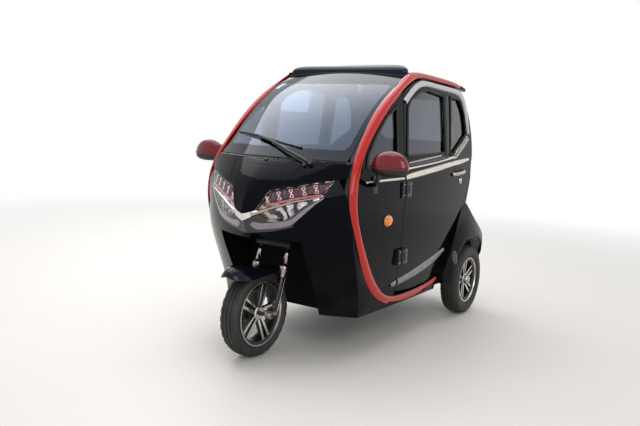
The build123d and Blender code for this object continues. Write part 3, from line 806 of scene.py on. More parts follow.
# %% Header rails
line = [(0.378, -0.010), (0.379, 0.150), (0.378, 0.300), (0.376, 0.450), (0.372, 0.600),
        (0.369, 0.660), (0.366, 0.706)]
header = sheet_between([[Vector((x, y, z)) for x, y in line] for z in (1.434, 1.455, 1.476)],
                       0.003, INBOARD)
keep("header_rails", header, black_plastic, "body", both_sides=True)
print("header rails", round(line[-1][1] - line[0][1], 3), "m long")

# %% [markdown]
# ## Wheels
# Each cast wheel has a black painted barrel and five pairs of spokes whose faces, like the lip,
# were turned bright after painting. Every spoke is a tapered bar; the faces that look outwards
# get the turned finish and the rest keep the paint, just as the lathe leaves them.

# %% Cast wheels
wheel_black = bare_metal("black_wheel_paint", "131316", 0.4, 50, 2.0, 0.01)
wheel_black.node_tree.nodes["Principled BSDF"].inputs["Metallic"].default_value = 0.0
SPOKE_PAIRS = 5


def spoke(centre, turn, side, start, end, faces_out):
    """One tapered bar of a pair; side is -1 or 1, turn its pair's angle."""
    shape = sharp_box()
    for v in shape.verts:
        t = v.co.z + 0.5
        reach = start + (end - start) * t
        width = 0.0140 + 0.0030 * t
        apart = side * (0.0115 + 0.0095 * t)
        depth = 0.024 - 0.006 * t
        front = 0.024 + 0.012 * t
        v.co = Vector((faces_out * (front - depth * (0.5 - v.co.x * faces_out)),
                       apart + v.co.y * width, reach))
    round_off(shape, shape.edges[:], 0.0016)
    bmesh.ops.rotate(shape, verts=shape.verts, cent=(0, 0, 0),
                     matrix=Matrix.Rotation(turn, 3, "X"))
    bmesh.ops.translate(shape, verts=shape.verts, vec=centre)
    return shape


def wheel(name, centre, lip, seat, half, faces_out, first_turn, body, node):
    """Barrel, hub and spokes of one wheel: radii of lip and bead seat, and half its width."""
    o = faces_out
    barrel = turned([(half * o, lip), (half * o, lip - 0.007), (o * (half - 0.005), lip - 0.009),
                     (o * (half - 0.010), seat - 0.008), (o * 0.012, seat - 0.016),
                     (-o * (half - 0.010), seat - 0.008), (-o * (half - 0.002), lip - 0.006),
                     (-o * half, lip), (-o * (half - 0.007), lip), (-o * (half - 0.007), seat),
                     (o * (half - 0.007), seat), (o * (half - 0.007), lip)], centre)
    hub = turned([(o * 0.030, 0.012), (o * 0.030, 0.030), (o * 0.026, 0.036), (-o * 0.028, 0.036),
                  (-o * 0.031, 0.030), (-o * 0.031, 0.012)], centre, 48)
    bars = [spoke(centre, first_turn + 2 * math.pi * i / SPOKE_PAIRS, side, 0.026, seat - 0.006, o)
            for i in range(SPOKE_PAIRS) for side in (-1, 1)]
    shape = merged(barrel, hub, *bars)
    bmesh.ops.recalc_face_normals(shape, faces=shape.faces)
    shape.normal_update()
    for face in shape.faces:
        centre_r = (face.calc_center_median() - Vector(centre)).yz.length
        bright = face.normal.x * o > 0.8 and (centre_r < 0.9 * seat or centre_r > lip - 0.012)
        face.material_index = 1 if bright or centre_r > lip - 0.0095 else 0
    return crease(keep(name, shape, (wheel_black, turned_alloy), body,
                       replaces=[node]), 30)


FRONT_AXLE = (0.0, -0.820, 0.2225)
REAR_AXLE = {"left": (0.462, 0.790, 0.224), "right": (-0.462, 0.790, 0.224)}
wheel("front_wheel_casting", FRONT_AXLE, lip=0.167, seat=0.154, half=0.044, faces_out=1,
      first_turn=math.radians(-14), body="front_wheel", node="front_rim")
for side, centre in REAR_AXLE.items():
    out = 1 if side == "left" else -1
    wheel(f"rear_wheel_casting_{side}", centre, lip=0.147, seat=0.132, half=0.048, faces_out=out,
          first_turn=math.radians(12), body=f"rear_wheel_{side}", node=f"rear_rim_{side}")
    cap = turned([(out * 0.030, 0.0), (out * 0.030, 0.031), (out * 0.046, 0.030),
                  (out * 0.056, 0.022), (out * 0.060, 0.010), (out * 0.061, 0.0)], centre, 48)
    keep(f"hub_cap_{side}", cap, chrome_darkened_for_painted_reflection, f"rear_wheel_{side}")
    drum = turned([(-out * 0.030, 0.0), (-out * 0.030, 0.090), (-out * 0.036, 0.098),
                   (-out * 0.074, 0.100), (-out * 0.076, 0.092), (-out * 0.076, 0.0)], centre, 64)
    crease(keep(f"brake_drum_{side}", drum, cast_alloy, f"rear_wheel_{side}"))
print("wheels made:", 1 + len(REAR_AXLE))

# %% [markdown]
# ## Tyres
# A tyre is a turned section: bead, bulging sidewall with two ribs, shoulder and crown. The tread
# is cut into it by sinking every other short run of faces across the shoulder, and three grooves
# run all the way round.

# %% Tyres with tread
TREAD_STEPS = 120
GROOVE = 0.0045                       # depth of the grooves and of the cuts between blocks
CUT_HEIGHT = 0.0145                   # the cuts reach this far down the shoulder
CUT_FROM, OFFSET_FROM = 0.5, 0.7      # shares of the half width: cuts start, outer cuts start


def tyre(name, centre, r, half, rim_r, bead, lip, body, node, block_steps):
    """A tyre of radius r that is 2 * half wide; every so many steps its shoulder is cut."""
    side = [(bead, rim_r), (bead + 0.001, lip + 0.003), (half * 0.86, lip + 0.010),
            (half * 0.97, lip + 0.020), (half * 0.985, lip + 0.0215), (half, lip + 0.028),
            (half, r - 0.030), (half * 0.975, r - 0.022), (half * 0.93, r - 0.013)]
    crown = [(half * 0.84, r - 0.0075), (half * 0.62, r - 0.0030), (half * 0.47, r - 0.0015),
             (half * 0.455, r - 0.0015 - GROOVE), (half * 0.385, r - 0.0014 - GROOVE),
             (half * 0.37, r - 0.0012), (half * 0.09, r), (half * 0.075, r - GROOVE)]
    lining = [(half * 0.55, r - 0.015), (half * 0.85, r - 0.030), (half - 0.008, lip + 0.018),
              (bead - 0.007, lip + 0.004), (bead - 0.007, rim_r)]
    right = [(-x, q) for x, q in reversed(side + crown)]
    right_lining = [(-x, q) for x, q in reversed(lining)]
    outline = side + crown + right + right_lining + lining
    shape = turned(outline, centre, TREAD_STEPS)
    origin = Vector(centre)
    for v in shape.verts:
        at = v.co - origin
        turn = round(math.atan2(at.y, at.z) / (2 * math.pi) * TREAD_STEPS)
        shift = 0 if abs(at.x) > half * OFFSET_FROM else 2
        cut = (turn + shift) % block_steps == 0
        if cut and at.yz.length > r - CUT_HEIGHT and half * CUT_FROM < abs(at.x):
            away = Vector((0, at.y, at.z)).normalized()
            v.co -= away * GROOVE
    return crease(keep(name, shape, tyre_rubber, body, replaces=[node]), 40)


tyre("front_tyre_tread", FRONT_AXLE, r=0.2225, half=0.053, rim_r=0.1545, bead=0.036, lip=0.167,
     body="front_wheel", node="front_tyre", block_steps=4)
for side, centre in REAR_AXLE.items():
    tyre(f"rear_tyre_tread_{side}", centre, r=0.224, half=0.0585, rim_r=0.1325, bead=0.040,
         lip=0.147, body=f"rear_wheel_{side}", node=f"rear_tyre_{side}", block_steps=3)
print("tyres made, tread", GROOVE * 1000, "mm deep")

# %% [markdown]
# ## Headlamps
# Behind each clear cover lies a bright tray. Its upper row holds five dark square cells with
# cut crystal crosses between them, and its lower part is a faceted reflector, warmer towards
# the middle of the nose and streaked with painted reflections. These are the finishes of its
# silver, its cells and its red panel.

# %% Finishes of the lamps
reflector, shader, place = material("silvered_reflector", "cfc8c6", 0.14, Metallic=1.0)
facet = add(reflector, "TexVoronoi", {"Vector": place, "Scale": per_mm(24)})
bump(reflector, shader, facet.outputs["Distance"], 3.5)
# Dark and pale streaks in the silvered reflector's colour: painted reflections of its
# surroundings.
painted_reflection_streaks = add(reflector, "TexWave", {"Vector": place, "Scale": per_mm(150), "Distortion": 9.0,
                                    "Detail": 3.0, "Detail Scale": 2.0},
             bands_direction="DIAGONAL").outputs["Fac"]
painted_reflection_patches = mix(reflector, ramp(reflector, painted_reflection_streaks, 0.3, 0.7, 0.0, 1.0), "3d3734", "d8d2cf")
spot = add(reflector, "SeparateXYZ", {"Vector": place}).outputs
warm = ramp(reflector, calc(reflector, "ABSOLUTE", spot["X"]), 0.16, 0.07, 0.0, 0.75)
feed(reflector, shader.inputs["Base Color"], mix(reflector, warm, painted_reflection_patches, "8d7c55"))
cell_dark = mottled(*material("wine_dark_cell", "36131a", 0.22, Coat_Weight=0.7), "36131a",
                    "4a1b22", 9)
wine, shader, place = material("wine_reflector", "6d2c31", 0.25, Metallic=0.6, Coat_Weight=0.5)
bump(wine, shader, noise(wine, place, 16), 1.2)
print("lamp finishes:", reflector.name, cell_dark.name, wine.name)

# %% [markdown]
# ## Covers and trays
# Rays from the front pick the lamp's outer faces. A thin wall makes them the cover. A thick wall
# with its front faces taken away makes them the tray.

# %% Covers and trays
COVER_WALL, LAMP_DEPTH, TRAY_WALL = 0.0025, 0.022, 0.001


def outer_skin(node):
    """The faces of a CAD piece that show from the front, as a merged bmesh."""
    shape, search = welded(node), skin_of(node)
    hidden = []
    for face in shape.faces:
        at = face.calc_center_median()
        hit = search.ray_cast(Vector((at.x, AHEAD_OF_ALL, at.z)), BACKWARD)[0]
        if hit is None or abs(hit.y - at.y) > 0.001 or face.normal.y > -0.05:
            hidden.append(face)
    bmesh.ops.delete(shape, geom=hidden, context="FACES")
    return shape


def middle(face):
    """The face's centre, rounded so that two faces can be compared."""
    return tuple(round(c, 5) for c in face.calc_center_median())


cover = outer_skin("headlamps")
tray = cover.copy()
bmesh.ops.solidify(cover, geom=cover.faces[:], thickness=COVER_WALL)
crease(keep("lamp_covers", cover, lamp_clear, "body", replaces=["headlamps"]))
skin = {middle(f) for f in tray.faces}
bmesh.ops.solidify(tray, geom=tray.faces[:], thickness=LAMP_DEPTH)
front_faces = [f for f in tray.faces if middle(f) in skin]
bmesh.ops.delete(tray, geom=front_faces, context="FACES")
bmesh.ops.solidify(tray, geom=tray.faces[:], thickness=TRAY_WALL)
keep("lamp_trays", tray, reflector, "body", smooth=False)
print("tray opened by", len(front_faces), "faces")

# %% [markdown]
# ## Panel and cells of the lamp
# The upper row is a wine-dark panel with five deep square cells, whose floors are pressed in.

# %% Panel and cells of the upper row
#         x      lower, upper z of the row
ROW = [(0.094, 0.781, 0.836), (0.112, 0.788, 0.862), (0.132, 0.793, 0.869), (0.184, 0.808, 0.880),
       (0.236, 0.824, 0.892), (0.288, 0.837, 0.905), (0.334, 0.848, 0.915), (0.364, 0.862, 0.918)]
row_low = smooth_line([(x, z) for x, z, _ in ROW], 60)
row_high = smooth_line([(x, z) for x, _, z in ROW], 60)
panel = []
for share in (0.0, 0.5, 1.0):
    line = [a.lerp(b, share) for a, b in zip(row_low, row_high)]
    panel.append([on_front(p.x, p.y, -0.016) for p in line])
keep("lamp_wine_panels", sheet_between(panel, 0.001, BACKWARD), wine, "body",
     both_sides=True)

#         x      z     half width, half height
CELLS = [(0.132, 0.826, 0.014, 0.024), (0.184, 0.841, 0.014, 0.024), (0.236, 0.856, 0.014, 0.023),
         (0.288, 0.870, 0.013, 0.021), (0.334, 0.881, 0.012, 0.019)]
LAMP_FACES, LAMP_UP = (0.42, -1, 0.1), (-0.27, 0, 1)


def sunk(shape, faces, rim, depth):
    """Presses faces that look to +Z in by a depth, inside a rim, for the second finish."""
    bmesh.ops.inset_region(shape, faces=faces, thickness=rim, use_even_offset=True)
    bmesh.ops.translate(shape, vec=(0, 0, -depth), verts=list({v for f in faces for v in f.verts}))
    for f in faces:
        f.material_index = 1


def cell(x, z, w, h):
    """A small open box whose floor is pushed in."""
    shape = sharp_box((2 * w, 2 * h, 0.012))
    sunk(shape, [f for f in shape.faces if f.normal.z > 0.9], 0.0018, 0.009)
    return stand_on(shape, on_front(x, z, -0.011), LAMP_FACES, LAMP_UP)


keep("lamp_cells", merged(*[cell(*row) for row in CELLS]), (wine, cell_dark), "body",
     both_sides=True, smooth=False)
print("cells:", 2 * len(CELLS))

# %% [markdown]
# ## Crystals and light bar
# Between the cells stand crossed bars of clear plastic, with a faint painted glint in them. A pink
# light bar runs along the lower edge of the row, above the wing, and a thin bright line along its
# upper edge.

# %% Crystals, light bar and rim
def cross(x, z, h):
    """Two clear bars crossed, with a short one above and one below them."""
    bars = []
    for lean in (-30, 30):
        rib = bar((0.0042, 2 * h, 0.007), 0.001, 1)
        bmesh.ops.rotate(rib, verts=rib.verts, matrix=Matrix.Rotation(math.radians(lean), 3, "Z"))
        bars.append(rib)
    for side in (-1, 1):
        rib = bar((0.017, 0.0032, 0.006), 0.001, 1)
        bmesh.ops.translate(rib, vec=(0, side * h, 0), verts=rib.verts)
        bars.append(rib)
    return stand_on(merged(*bars), on_front(x, z, -0.010), LAMP_FACES, LAMP_UP)


# The faint emission is a painted glint: the clear bars glow a little though no lamp lights them.
crystal = mottled(*material("cut_acrylic_with_painted_glint", "f1dedd", 0.05, Transmission_Weight=0.4,
                            Emission_Color=colour("f8e4e2"), Emission_Strength=0.18),
                  "f1dedd", "dcbfbf", 8)
gaps = [((a[0] + b[0]) / 2, (a[1] + b[1]) / 2, 0.019) for a, b in zip(CELLS, CELLS[1:])]
gaps.insert(0, (0.108, 0.812, 0.014))
keep("lamp_crystals", merged(*[cross(*row) for row in gaps]), crystal, "body",
     both_sides=True, smooth=False)
rosy = mottled(*material("rose_light_bar", "cf7f77", 0.2, Transmission_Weight=0.2,
                         Coat_Weight=0.6, Emission_Color=colour("d98a80"),
                         Emission_Strength=0.12), "cf7f77", "bb655f", 20)
light_bar = piping([on_front(p.x, p.y + 0.001, -0.009) for p in row_low[4:-6]], 0.0048)
keep("lamp_light_bars", light_bar, rosy, "body", both_sides=True)
rim_line = piping([on_front(p.x, p.y - 0.004, -0.005) for p in row_high[10:-1]], 0.0026)
keep("lamp_rims", rim_line, light_guide, "body", both_sides=True)
print("crosses:", 2 * len(gaps))

# %% [markdown]
# ## Nose wing
# A bright wing runs from lamp to lamp, in a V that follows the lower edge of the bonnet.

# %% Nose wing
#        x      lower, upper z
WING = [(0.000, 0.700, 0.738), (0.030, 0.714, 0.745), (0.055, 0.727, 0.754),
        (0.085, 0.742, 0.763), (0.131, 0.765, 0.779), (0.202, 0.793, 0.806),
        (0.246, 0.811, 0.820), (0.306, 0.827, 0.835), (0.356, 0.843, 0.848)]
low = smooth_line([on_front(x, a) for x, a, b in WING], 60)
high = smooth_line([on_front(x, b) for x, a, b in WING], 60)
rails = [[], [], [], []]
for a, b in zip(low, high):
    for rail, share, lift in zip(rails, (0.0, 0.18, 0.72, 1.0), (0.001, 0.007, 0.009, 0.001)):
        p = a.lerp(b, share)
        rail.append(p + Vector((0, -lift, 0)))
wing = sheet_between(rails, 0.002, BACKWARD)
bright_alloy = bare_metal("bright_anodised_aluminium", "b9aeac", 0.2)
crease(keep("nose_wing", wing, bright_alloy, "body", both_sides=True,
            replaces=["nose_chrome"]), 25)
print("wing spans", round(2 * high[-1].x, 3), "m")

# %% [markdown]
# ## Plate on the wing
# A blank white enamelled plate lies on the middle of the wing. Its lower edge follows the V of
# the wing, and it gets narrower to both sides.

# %% Blank plate
V_FOOT_Z, V_RISE, V_RUN = 0.700, 0.0145, 0.030
PLATE_HEIGHT, PLATE_TAPER = 0.038, 0.2
blank = []
for share, lift in ((0.06, 0.010), (0.5, 0.012), (0.94, 0.010)):
    row = []
    for x in [i * 0.003 for i in range(-16, 17)]:
        height = PLATE_HEIGHT - PLATE_TAPER * abs(x)
        row.append(on_front(x, V_FOOT_Z + V_RISE * abs(x) / V_RUN + share * height, lift))
    blank.append(row)
white_plate, shader, place = material("white_enamelled_plate", "e6e3e1", 0.22, Coat_Weight=0.5)
film = ramp(white_plate, noise(white_plate, place, 25), 0.4, 0.8, 0.0, 0.4)
feed(white_plate, shader.inputs["Base Color"], mix(white_plate, film, "e9e6e4", "cfc7c5"))
crease(keep("nose_plate", sheet_between(blank, 0.003, BACKWARD), white_plate, "body"),
       25)
print("plate", round(blank[0][-1].x - blank[0][0].x, 3), "m wide")

# %% [markdown]
# ## Windscreen border
# The black border of a windscreen is ceramic fired onto the glass, and it hides the glue. It is
# part of the pane, so it is drawn in the pane's own material: a rounded rectangle of clear glass
# inside, black outside, with the change only a few millimetres wide.

# %% Windscreen glass with its fired border
HALF_CLEAR = (0.372, 0.178)      # half width and half height of the clear part
CLEAR_CENTRE_Z = 1.240
CORNER = 0.03                    # radius of its corners
HALF_FADE = 0.002                # half the width of the change from clear to black

screen_glass, shader, place = clear("windscreen_glass", "92a3ba", ior=1.5)
mottled(screen_glass, shader, place, "92a3ba", "8e9fb7", 200)
spot = add(screen_glass, "SeparateXYZ", {"Vector": place}).outputs
across = calc(screen_glass, "ABSOLUTE", spot["X"])
rise = calc(screen_glass, "ABSOLUTE", calc(screen_glass, "SUBTRACT", spot["Z"], CLEAR_CENTRE_Z))
outside = add(screen_glass, "CombineXYZ", {"X": across, "Y": rise})
outside = add(screen_glass, "VectorMath", {0: outside.outputs[0], 1: (
    HALF_CLEAR[0] - CORNER, HALF_CLEAR[1] - CORNER, 0)}, operation="SUBTRACT")
outside = add(screen_glass, "VectorMath", {0: outside.outputs[0], 1: (0, 0, 0)},
              operation="MAXIMUM")
outside = add(screen_glass, "VectorMath", {0: outside.outputs[0]}, operation="LENGTH")
fired = ramp(screen_glass, outside.outputs["Value"], CORNER - HALF_FADE, CORNER + HALF_FADE,
             0.0, 1.0)
# Its reflections carry the same painted sky tint.
ceramic = add(screen_glass, "BsdfPrincipled", {"Base Color": colour("0a0b0e"), "Roughness": 0.05,
                                               "Specular IOR Level": 0.3,
                                               "Specular Tint": PAINTED_SKY_TINT})
pane = add(screen_glass, "MixShader", {0: fired, 1: shader.outputs[0], 2: ceramic.outputs[0]})
feed(screen_glass, screen_glass.node_tree.nodes["Material Output"].inputs["Surface"],
     pane.outputs[0])
for slot in frame["nodes"]["windscreen"].material_slots:
    slot.material = screen_glass
print("clear part", [2 * h for h in HALF_CLEAR], "m")

# %% [markdown]
# ## Wiper
# One long arm on a pivot left of the middle, a thin link beside it, and a blade on a yoke. The
# arm stands clear of the glass and the rubber rests on it.

# %% Wiper
def above_glass(rows):
    """Points (x, z, lift) in front of the glass."""
    return [on_front(x, z, lift) for x, z, lift in rows]


arm_line = smooth_line(above_glass([(0.249, 0.996, 0.014), (0.194, 1.017, 0.022),
                                    (0.095, 1.050, 0.026), (-0.028, 1.089, 0.026),
                                    (-0.139, 1.110, 0.022)]), 40)
blade_line = smooth_line(above_glass([(-0.352, 1.126, 0.008), (-0.240, 1.120, 0.008),
                                      (-0.065, 1.096, 0.008), (0.152, 1.066, 0.008)]), 40)
yoke_line = smooth_line(above_glass([(-0.290, 1.124, 0.012), (-0.200, 1.119, 0.020),
                                     (-0.110, 1.108, 0.020), (0.000, 1.089, 0.012)]), 30)
link_line = smooth_line(above_glass([(0.233, 0.990, 0.010), (0.120, 1.030, 0.020),
                                     (0.007, 1.070, 0.018)]), 30)
wiper_parts = [piping(arm_line, 0.0075), piping(blade_line, 0.0055), piping(yoke_line, 0.0055),
               piping(link_line, 0.004)]
for x, z, r, length in ((0.249, 0.996, 0.017, 0.030), (0.225, 0.986, 0.011, 0.022)):
    cap = plug(r, r * 0.8, length, 32)
    bmesh.ops.rotate(cap, verts=cap.verts, matrix=Matrix.Rotation(math.radians(60), 3, "X"))
    bmesh.ops.translate(cap, vec=on_front(x, z, 0.006), verts=cap.verts)
    wiper_parts.append(cap)
crease(keep("wiper", merged(*wiper_parts), black_plastic, "body"))
print("blade", round(sum((b - a).length for a, b in zip(blade_line, blade_line[1:])), 3), "m")

# %% [markdown]
# ## Side trim
# Each moulding on the side is a thin rolled section laid on the panel between two edge lines,
# so it takes the body's curve. These are the tools for it and the four bright metals.

# %% Tools and metals for the side trim
PANELS = skin_of("door_left", "quarter_panels", "rear_body", "front_cowl")
#       share of the way from top to bottom, share of the height
ROLL = ((0.0, -0.2), (0.12, 0.7), (0.4, 1.0), (0.8, 0.75), (1.0, -0.2))


def on_panel(y, z, lift):
    """A point at y and z as far out as the left panels nearby, glass left out, and lifted."""
    near = PANELS.find_nearest(Vector((0.49, y, z)))[0]
    near = PANELS.find_nearest(Vector((near.x, y, z)))[0]
    return Vector((near.x + lift, y, z))


def moulding(top, bottom, lift, count=70, wall=0.004):
    """A rolled section on the left side between two edges of (y, z) points."""
    pairs = list(zip(smooth_line(top, count), smooth_line(bottom, count)))
    return sheet_between([[on_panel(*a.lerp(b, share), lift * rise) for a, b in pairs]
                          for share, rise in ROLL], wall, INBOARD)


def on_both_doors(name, shape, finish):
    """A piece on the left door and its mirror image on the right one."""
    left = crease(keep(name + "_left", shape, finish, "left_door"), 30)
    opposite(left, name + "_right", "right_door")


# Pale polished metal for the belt and sill mouldings; on the belt moulding its pale cream is a
# painted reflection of the sky along the shoulder.
polished = bare_metal("polished_stainless_strip_and_painted_belt_highlight", "dcd5cb", 0.16)
satin_chrome = bare_metal("satin_chrome", "b5b1ac", 0.22)
# Satin silver for the lower ledge and the tail lamp frames; on the ledge it is a painted highlight
# along a crease of the black panel.
silver_strip_and_painted_ledge_highlight = bare_metal("satin_silver_strip_and_painted_ledge_highlight", "8e8b8b", 0.3)
warm_silver = bare_metal("brushed_stainless_strip", "aaa39b", 0.24)
print("trim metals:", polished.name, satin_chrome.name, silver_strip_and_painted_ledge_highlight.name, warm_silver.name)

# %% [markdown]
# ## Side mouldings
# The doors carry a polished belt moulding, a window sill over a grey channel, a bright line that
# climbs behind the rear pane, and a ledge low down. The pale cream of the belt moulding is a
# painted reflection of the sky along the shoulder, and the satin silver of the ledge a painted
# highlight along a crease of the black panel. What lies in front of the door's edge stays on the
# body.
# Points are (y, z), first of the upper edge and then of the lower one.

# %% Side mouldings
# The belt moulding's pale cream is a painted reflection of the sky along the shoulder.
on_both_doors("belt_moulding", moulding(
    [(-0.160, 0.929), (-0.100, 0.949), (0.150, 0.974), (0.436, 1.001), (0.673, 1.019),
     (0.800, 1.027)],
    [(-0.158, 0.914), (-0.090, 0.917), (0.080, 0.932), (0.287, 0.951), (0.510, 0.973),
     (0.671, 0.988), (0.800, 1.008)], 0.007), polished)
keep("belt_moulding_front", moulding(
    [(-0.575, 0.917), (-0.480, 0.922), (-0.400, 0.925), (-0.300, 0.928), (-0.176, 0.930)],
    [(-0.575, 0.907), (-0.480, 0.909), (-0.402, 0.911), (-0.300, 0.912), (-0.176, 0.913)], 0.005),
     polished, "body", both_sides=True)
on_both_doors("window_sill", moulding(
    [(-0.128, 1.010), (-0.093, 1.013), (0.086, 1.031), (0.320, 1.050)],
    [(-0.128, 0.999), (-0.093, 1.001), (0.086, 1.015), (0.312, 1.036)], 0.010),
    warm_silver)
on_both_doors("sill_channel", moulding(
    [(-0.128, 0.998), (-0.093, 1.000), (0.086, 1.013), (0.380, 1.038)],
    [(-0.128, 0.984), (-0.093, 0.986), (0.152, 1.004), (0.400, 1.026)], 0.003),
    trim_grey)
on_both_doors("sill_moulding", merged(
    moulding([(-0.130, 0.980), (-0.091, 0.983), (0.152, 1.001), (0.362, 1.020), (0.460, 1.036),
              (0.524, 1.037)],
             [(-0.130, 0.966), (-0.092, 0.969), (0.151, 0.988), (0.362, 1.007), (0.490, 1.019),
              (0.560, 1.023)], 0.007),
    moulding([(0.500, 1.037), (0.516, 1.042), (0.713, 1.142), (0.768, 1.170)],
             [(0.520, 1.035), (0.534, 1.038), (0.732, 1.139), (0.776, 1.162)], 0.006)),
    polished)
on_both_doors("rear_pane_moulding", moulding(
    [(0.540, 1.030), (0.640, 1.083), (0.752, 1.142), (0.780, 1.158)],
    [(0.566, 1.024), (0.672, 1.074), (0.786, 1.130), (0.806, 1.142)], 0.008),
    warm_silver)
# The ledge's satin silver is a painted highlight: the bright reflection along a crease of the
# black panel.
on_both_doors("lower_ledge", moulding(
    [(-0.158, 0.366), (-0.050, 0.380), (0.109, 0.407), (0.300, 0.443), (0.446, 0.474)],
    [(-0.158, 0.326), (-0.050, 0.336), (0.121, 0.356), (0.300, 0.392), (0.434, 0.436)], 0.010),
    silver_strip_and_painted_ledge_highlight)
keep("lower_ledge_front", moulding([(-0.232, 0.352), (-0.205, 0.360), (-0.174, 0.364)],
                                   [(-0.226, 0.330), (-0.205, 0.326), (-0.174, 0.325)], 0.008,
                                   count=20),
     silver_strip_and_painted_ledge_highlight, "body", both_sides=True)
print("side mouldings laid")

# %% [markdown]
# ## Window seals and frames
# A rubber bead runs round every pane. A glossy black moulding follows the top of the door over
# both panes, painted light grey: the grey is a painted reflection of the bright sky. A black
# divider stands between the panes.

# %% Window seals
WINDOW_CORNER = 0.02
DOOR_WINDOW = [(-0.135, 1.042), (-0.118, 1.300), (-0.078, 1.345), (0.060, 1.400),
               (0.150, 1.412), (0.380, 1.396), (0.384, 1.058), (0.340, 1.056)]
REAR_PANE = [(0.464, 1.052), (0.490, 1.398), (0.648, 1.392), (0.716, 1.318),
             (0.742, 1.238), (0.752, 1.178), (0.520, 1.052)]
seals = merged(*[piping(loop_on(on_panel, line, WINDOW_CORNER, 0.002), 0.0065, closed=True,
                        sides=3) for line in (DOOR_WINDOW, REAR_PANE)])
on_both_doors("window_seals", seals, seal_rubber)
quarter_line = loop_on(on_panel, [(-0.246, 1.300), (-0.246, 1.010), (-0.560, 0.985),
                                  (-0.548, 1.040), (-0.468, 1.140), (-0.360, 1.236)], 0.015, 0.002)
keep("quarter_seals", piping(quarter_line, 0.006, closed=True, sides=3), seal_rubber, "body",
     both_sides=True)
FRAME_TOP = [(-0.160, 1.344), (-0.100, 1.384), (-0.025, 1.429), (0.062, 1.461), (0.140, 1.466),
             (0.300, 1.463), (0.522, 1.458), (0.653, 1.451), (0.724, 1.420), (0.776, 1.340),
             (0.800, 1.240), (0.808, 1.190)]
FRAME_BOTTOM = [(-0.128, 1.318), (-0.062, 1.364), (0.020, 1.406), (0.086, 1.425), (0.152, 1.431),
                (0.293, 1.428), (0.560, 1.420), (0.650, 1.408), (0.712, 1.362), (0.746, 1.290),
                (0.770, 1.220), (0.784, 1.180)]
on_both_doors("door_frames", moulding(FRAME_TOP, FRAME_BOTTOM, 0.011, count=120), frame_grey_painted_sky_reflection)
pillar = moulding([(0.397, 1.400), (0.400, 1.230), (0.401, 1.052)],
                  [(0.463, 1.400), (0.458, 1.230), (0.452, 1.052)], 0.006)
on_both_doors("window_dividers", pillar, black_plastic)
print("door frame from", FRAME_TOP[0][1], "to", max(z for y, z in FRAME_TOP), "m high")

# %% [markdown]
# ## Door handles and locks
# The pull is a cast bar over a dark scoop, with an oval lock ring below.

# %% Scoops, locks and pulls
scoop = oval((0.190, 0.056, 0.004), 0.92, 48)
stand_on(scoop, on_panel(0.600, 0.944, -0.001), (1, 0, 0.02), (0, 0.06, 1))
on_both_doors("handle_scoops", scoop, seal_rubber)
ring = oval((0.034, 0.046, 0.007), 0.8, 32)
stand_on(ring, on_panel(0.631, 0.884, 0.0), (1, 0, 0.02))
on_both_doors("lock_rings", ring, satin_chrome)
PULL_Y, PULL_Z, PULL_SLOPE = 0.593, 0.934, 0.09      # middle of the pull, and its rise
PULL_STRETCH = 1.25                                  # it is higher than it is thick
grip_line = smooth_line([on_panel(y, z, lift) for y, z, lift in
                         ((0.502, 0.926, 0.002), (0.520, 0.928, 0.016), (0.593, 0.934, 0.022),
                          (0.668, 0.940, 0.017), (0.690, 0.944, 0.002))], 40)
pull = piping(grip_line, 0.0085, sides=5)
for v in pull.verts:
    middle_z = PULL_Z + (v.co.y - PULL_Y) * PULL_SLOPE
    v.co.z = middle_z + (v.co.z - middle_z) * PULL_STRETCH
pull_left = keep("door_pull_left", pull, satin_chrome, "left_door",
                 replaces=["door_handle_left"])
opposite(pull_left, "door_pull_right", "right_door", ["door_handle_right"])
print("pull", round(grip_line[-1].y - grip_line[0].y, 3), "m long")

# %% [markdown]
# ## Hinges
# Each hinge has four screws in the leaf on the body and four in the leaf on the door, and a
# plastic cap over the middle of the door's leaf.

# %% Screws and caps of the hinges
def screws(rows, radius=0.0045):
    """Domed screws on faces that look sideways; rows are (x, y, z)."""
    return merged(*[stand_on(disc(radius, 0.0028, 0.7, 16), row, (1, 0, 0)) for row in rows])


HINGES = ((0.819, 0.905), (0.451, 0.537))      # lower and upper end, z
FROM_END = 0.014
body_screws, door_screws = (
    [(0.487, y, z) for lo, hi in HINGES for y in columns for z in (lo + FROM_END, hi - FROM_END)]
    for columns in ((-0.203, -0.190), (-0.147, -0.115)))
keep("hinge_screws_front", screws(body_screws), ground_steel, "body", both_sides=True)
on_both_doors("hinge_screws", screws(door_screws), ground_steel)
caps = [stand_on(bar((0.030, 0.046, 0.008), 0.003), (0.489, -0.131, (lo + hi) / 2), (1, 0, 0))
        for lo, hi in HINGES]
on_both_doors("hinge_caps", merged(*caps), trim_grey)
print("screws on each side:", len(body_screws) + len(door_screws))

# %% [markdown]
# ## Side lamps and reflectors
# The side lamp is an oval amber dome with moulded ribs on a black foot; the reflector on the
# wheel guard is a dark red oval.

# %% Side lamps and reflectors
SIDE_LAMP = (-0.345, 0.707)      # y, z of its centre
dome = bmesh.new()
bmesh.ops.create_uvsphere(dome, u_segments=48, v_segments=24, radius=1.0)
bmesh.ops.bisect_plane(dome, geom=dome.verts[:] + dome.edges[:] + dome.faces[:],
                       plane_co=(0, 0, 0), plane_no=(0, 0, 1), clear_inner=True)
bmesh.ops.holes_fill(dome, edges=[e for e in dome.edges if e.is_boundary], sides=0)
bmesh.ops.scale(dome, vec=(0.042, 0.030, 0.017), verts=dome.verts)
amber_dome, shader, place = material("ribbed_amber_acrylic", "ee7f12", 0.12, Coat_Weight=0.8,
                                     Transmission_Weight=0.2, Emission_Color=colour("f0780a"),
                                     Emission_Strength=0.12)
ribs = add(amber_dome, "TexWave", {"Vector": place, "Scale": per_mm(90)}, bands_direction="Y")
bump(amber_dome, shader, ribs.outputs["Fac"], 0.7)
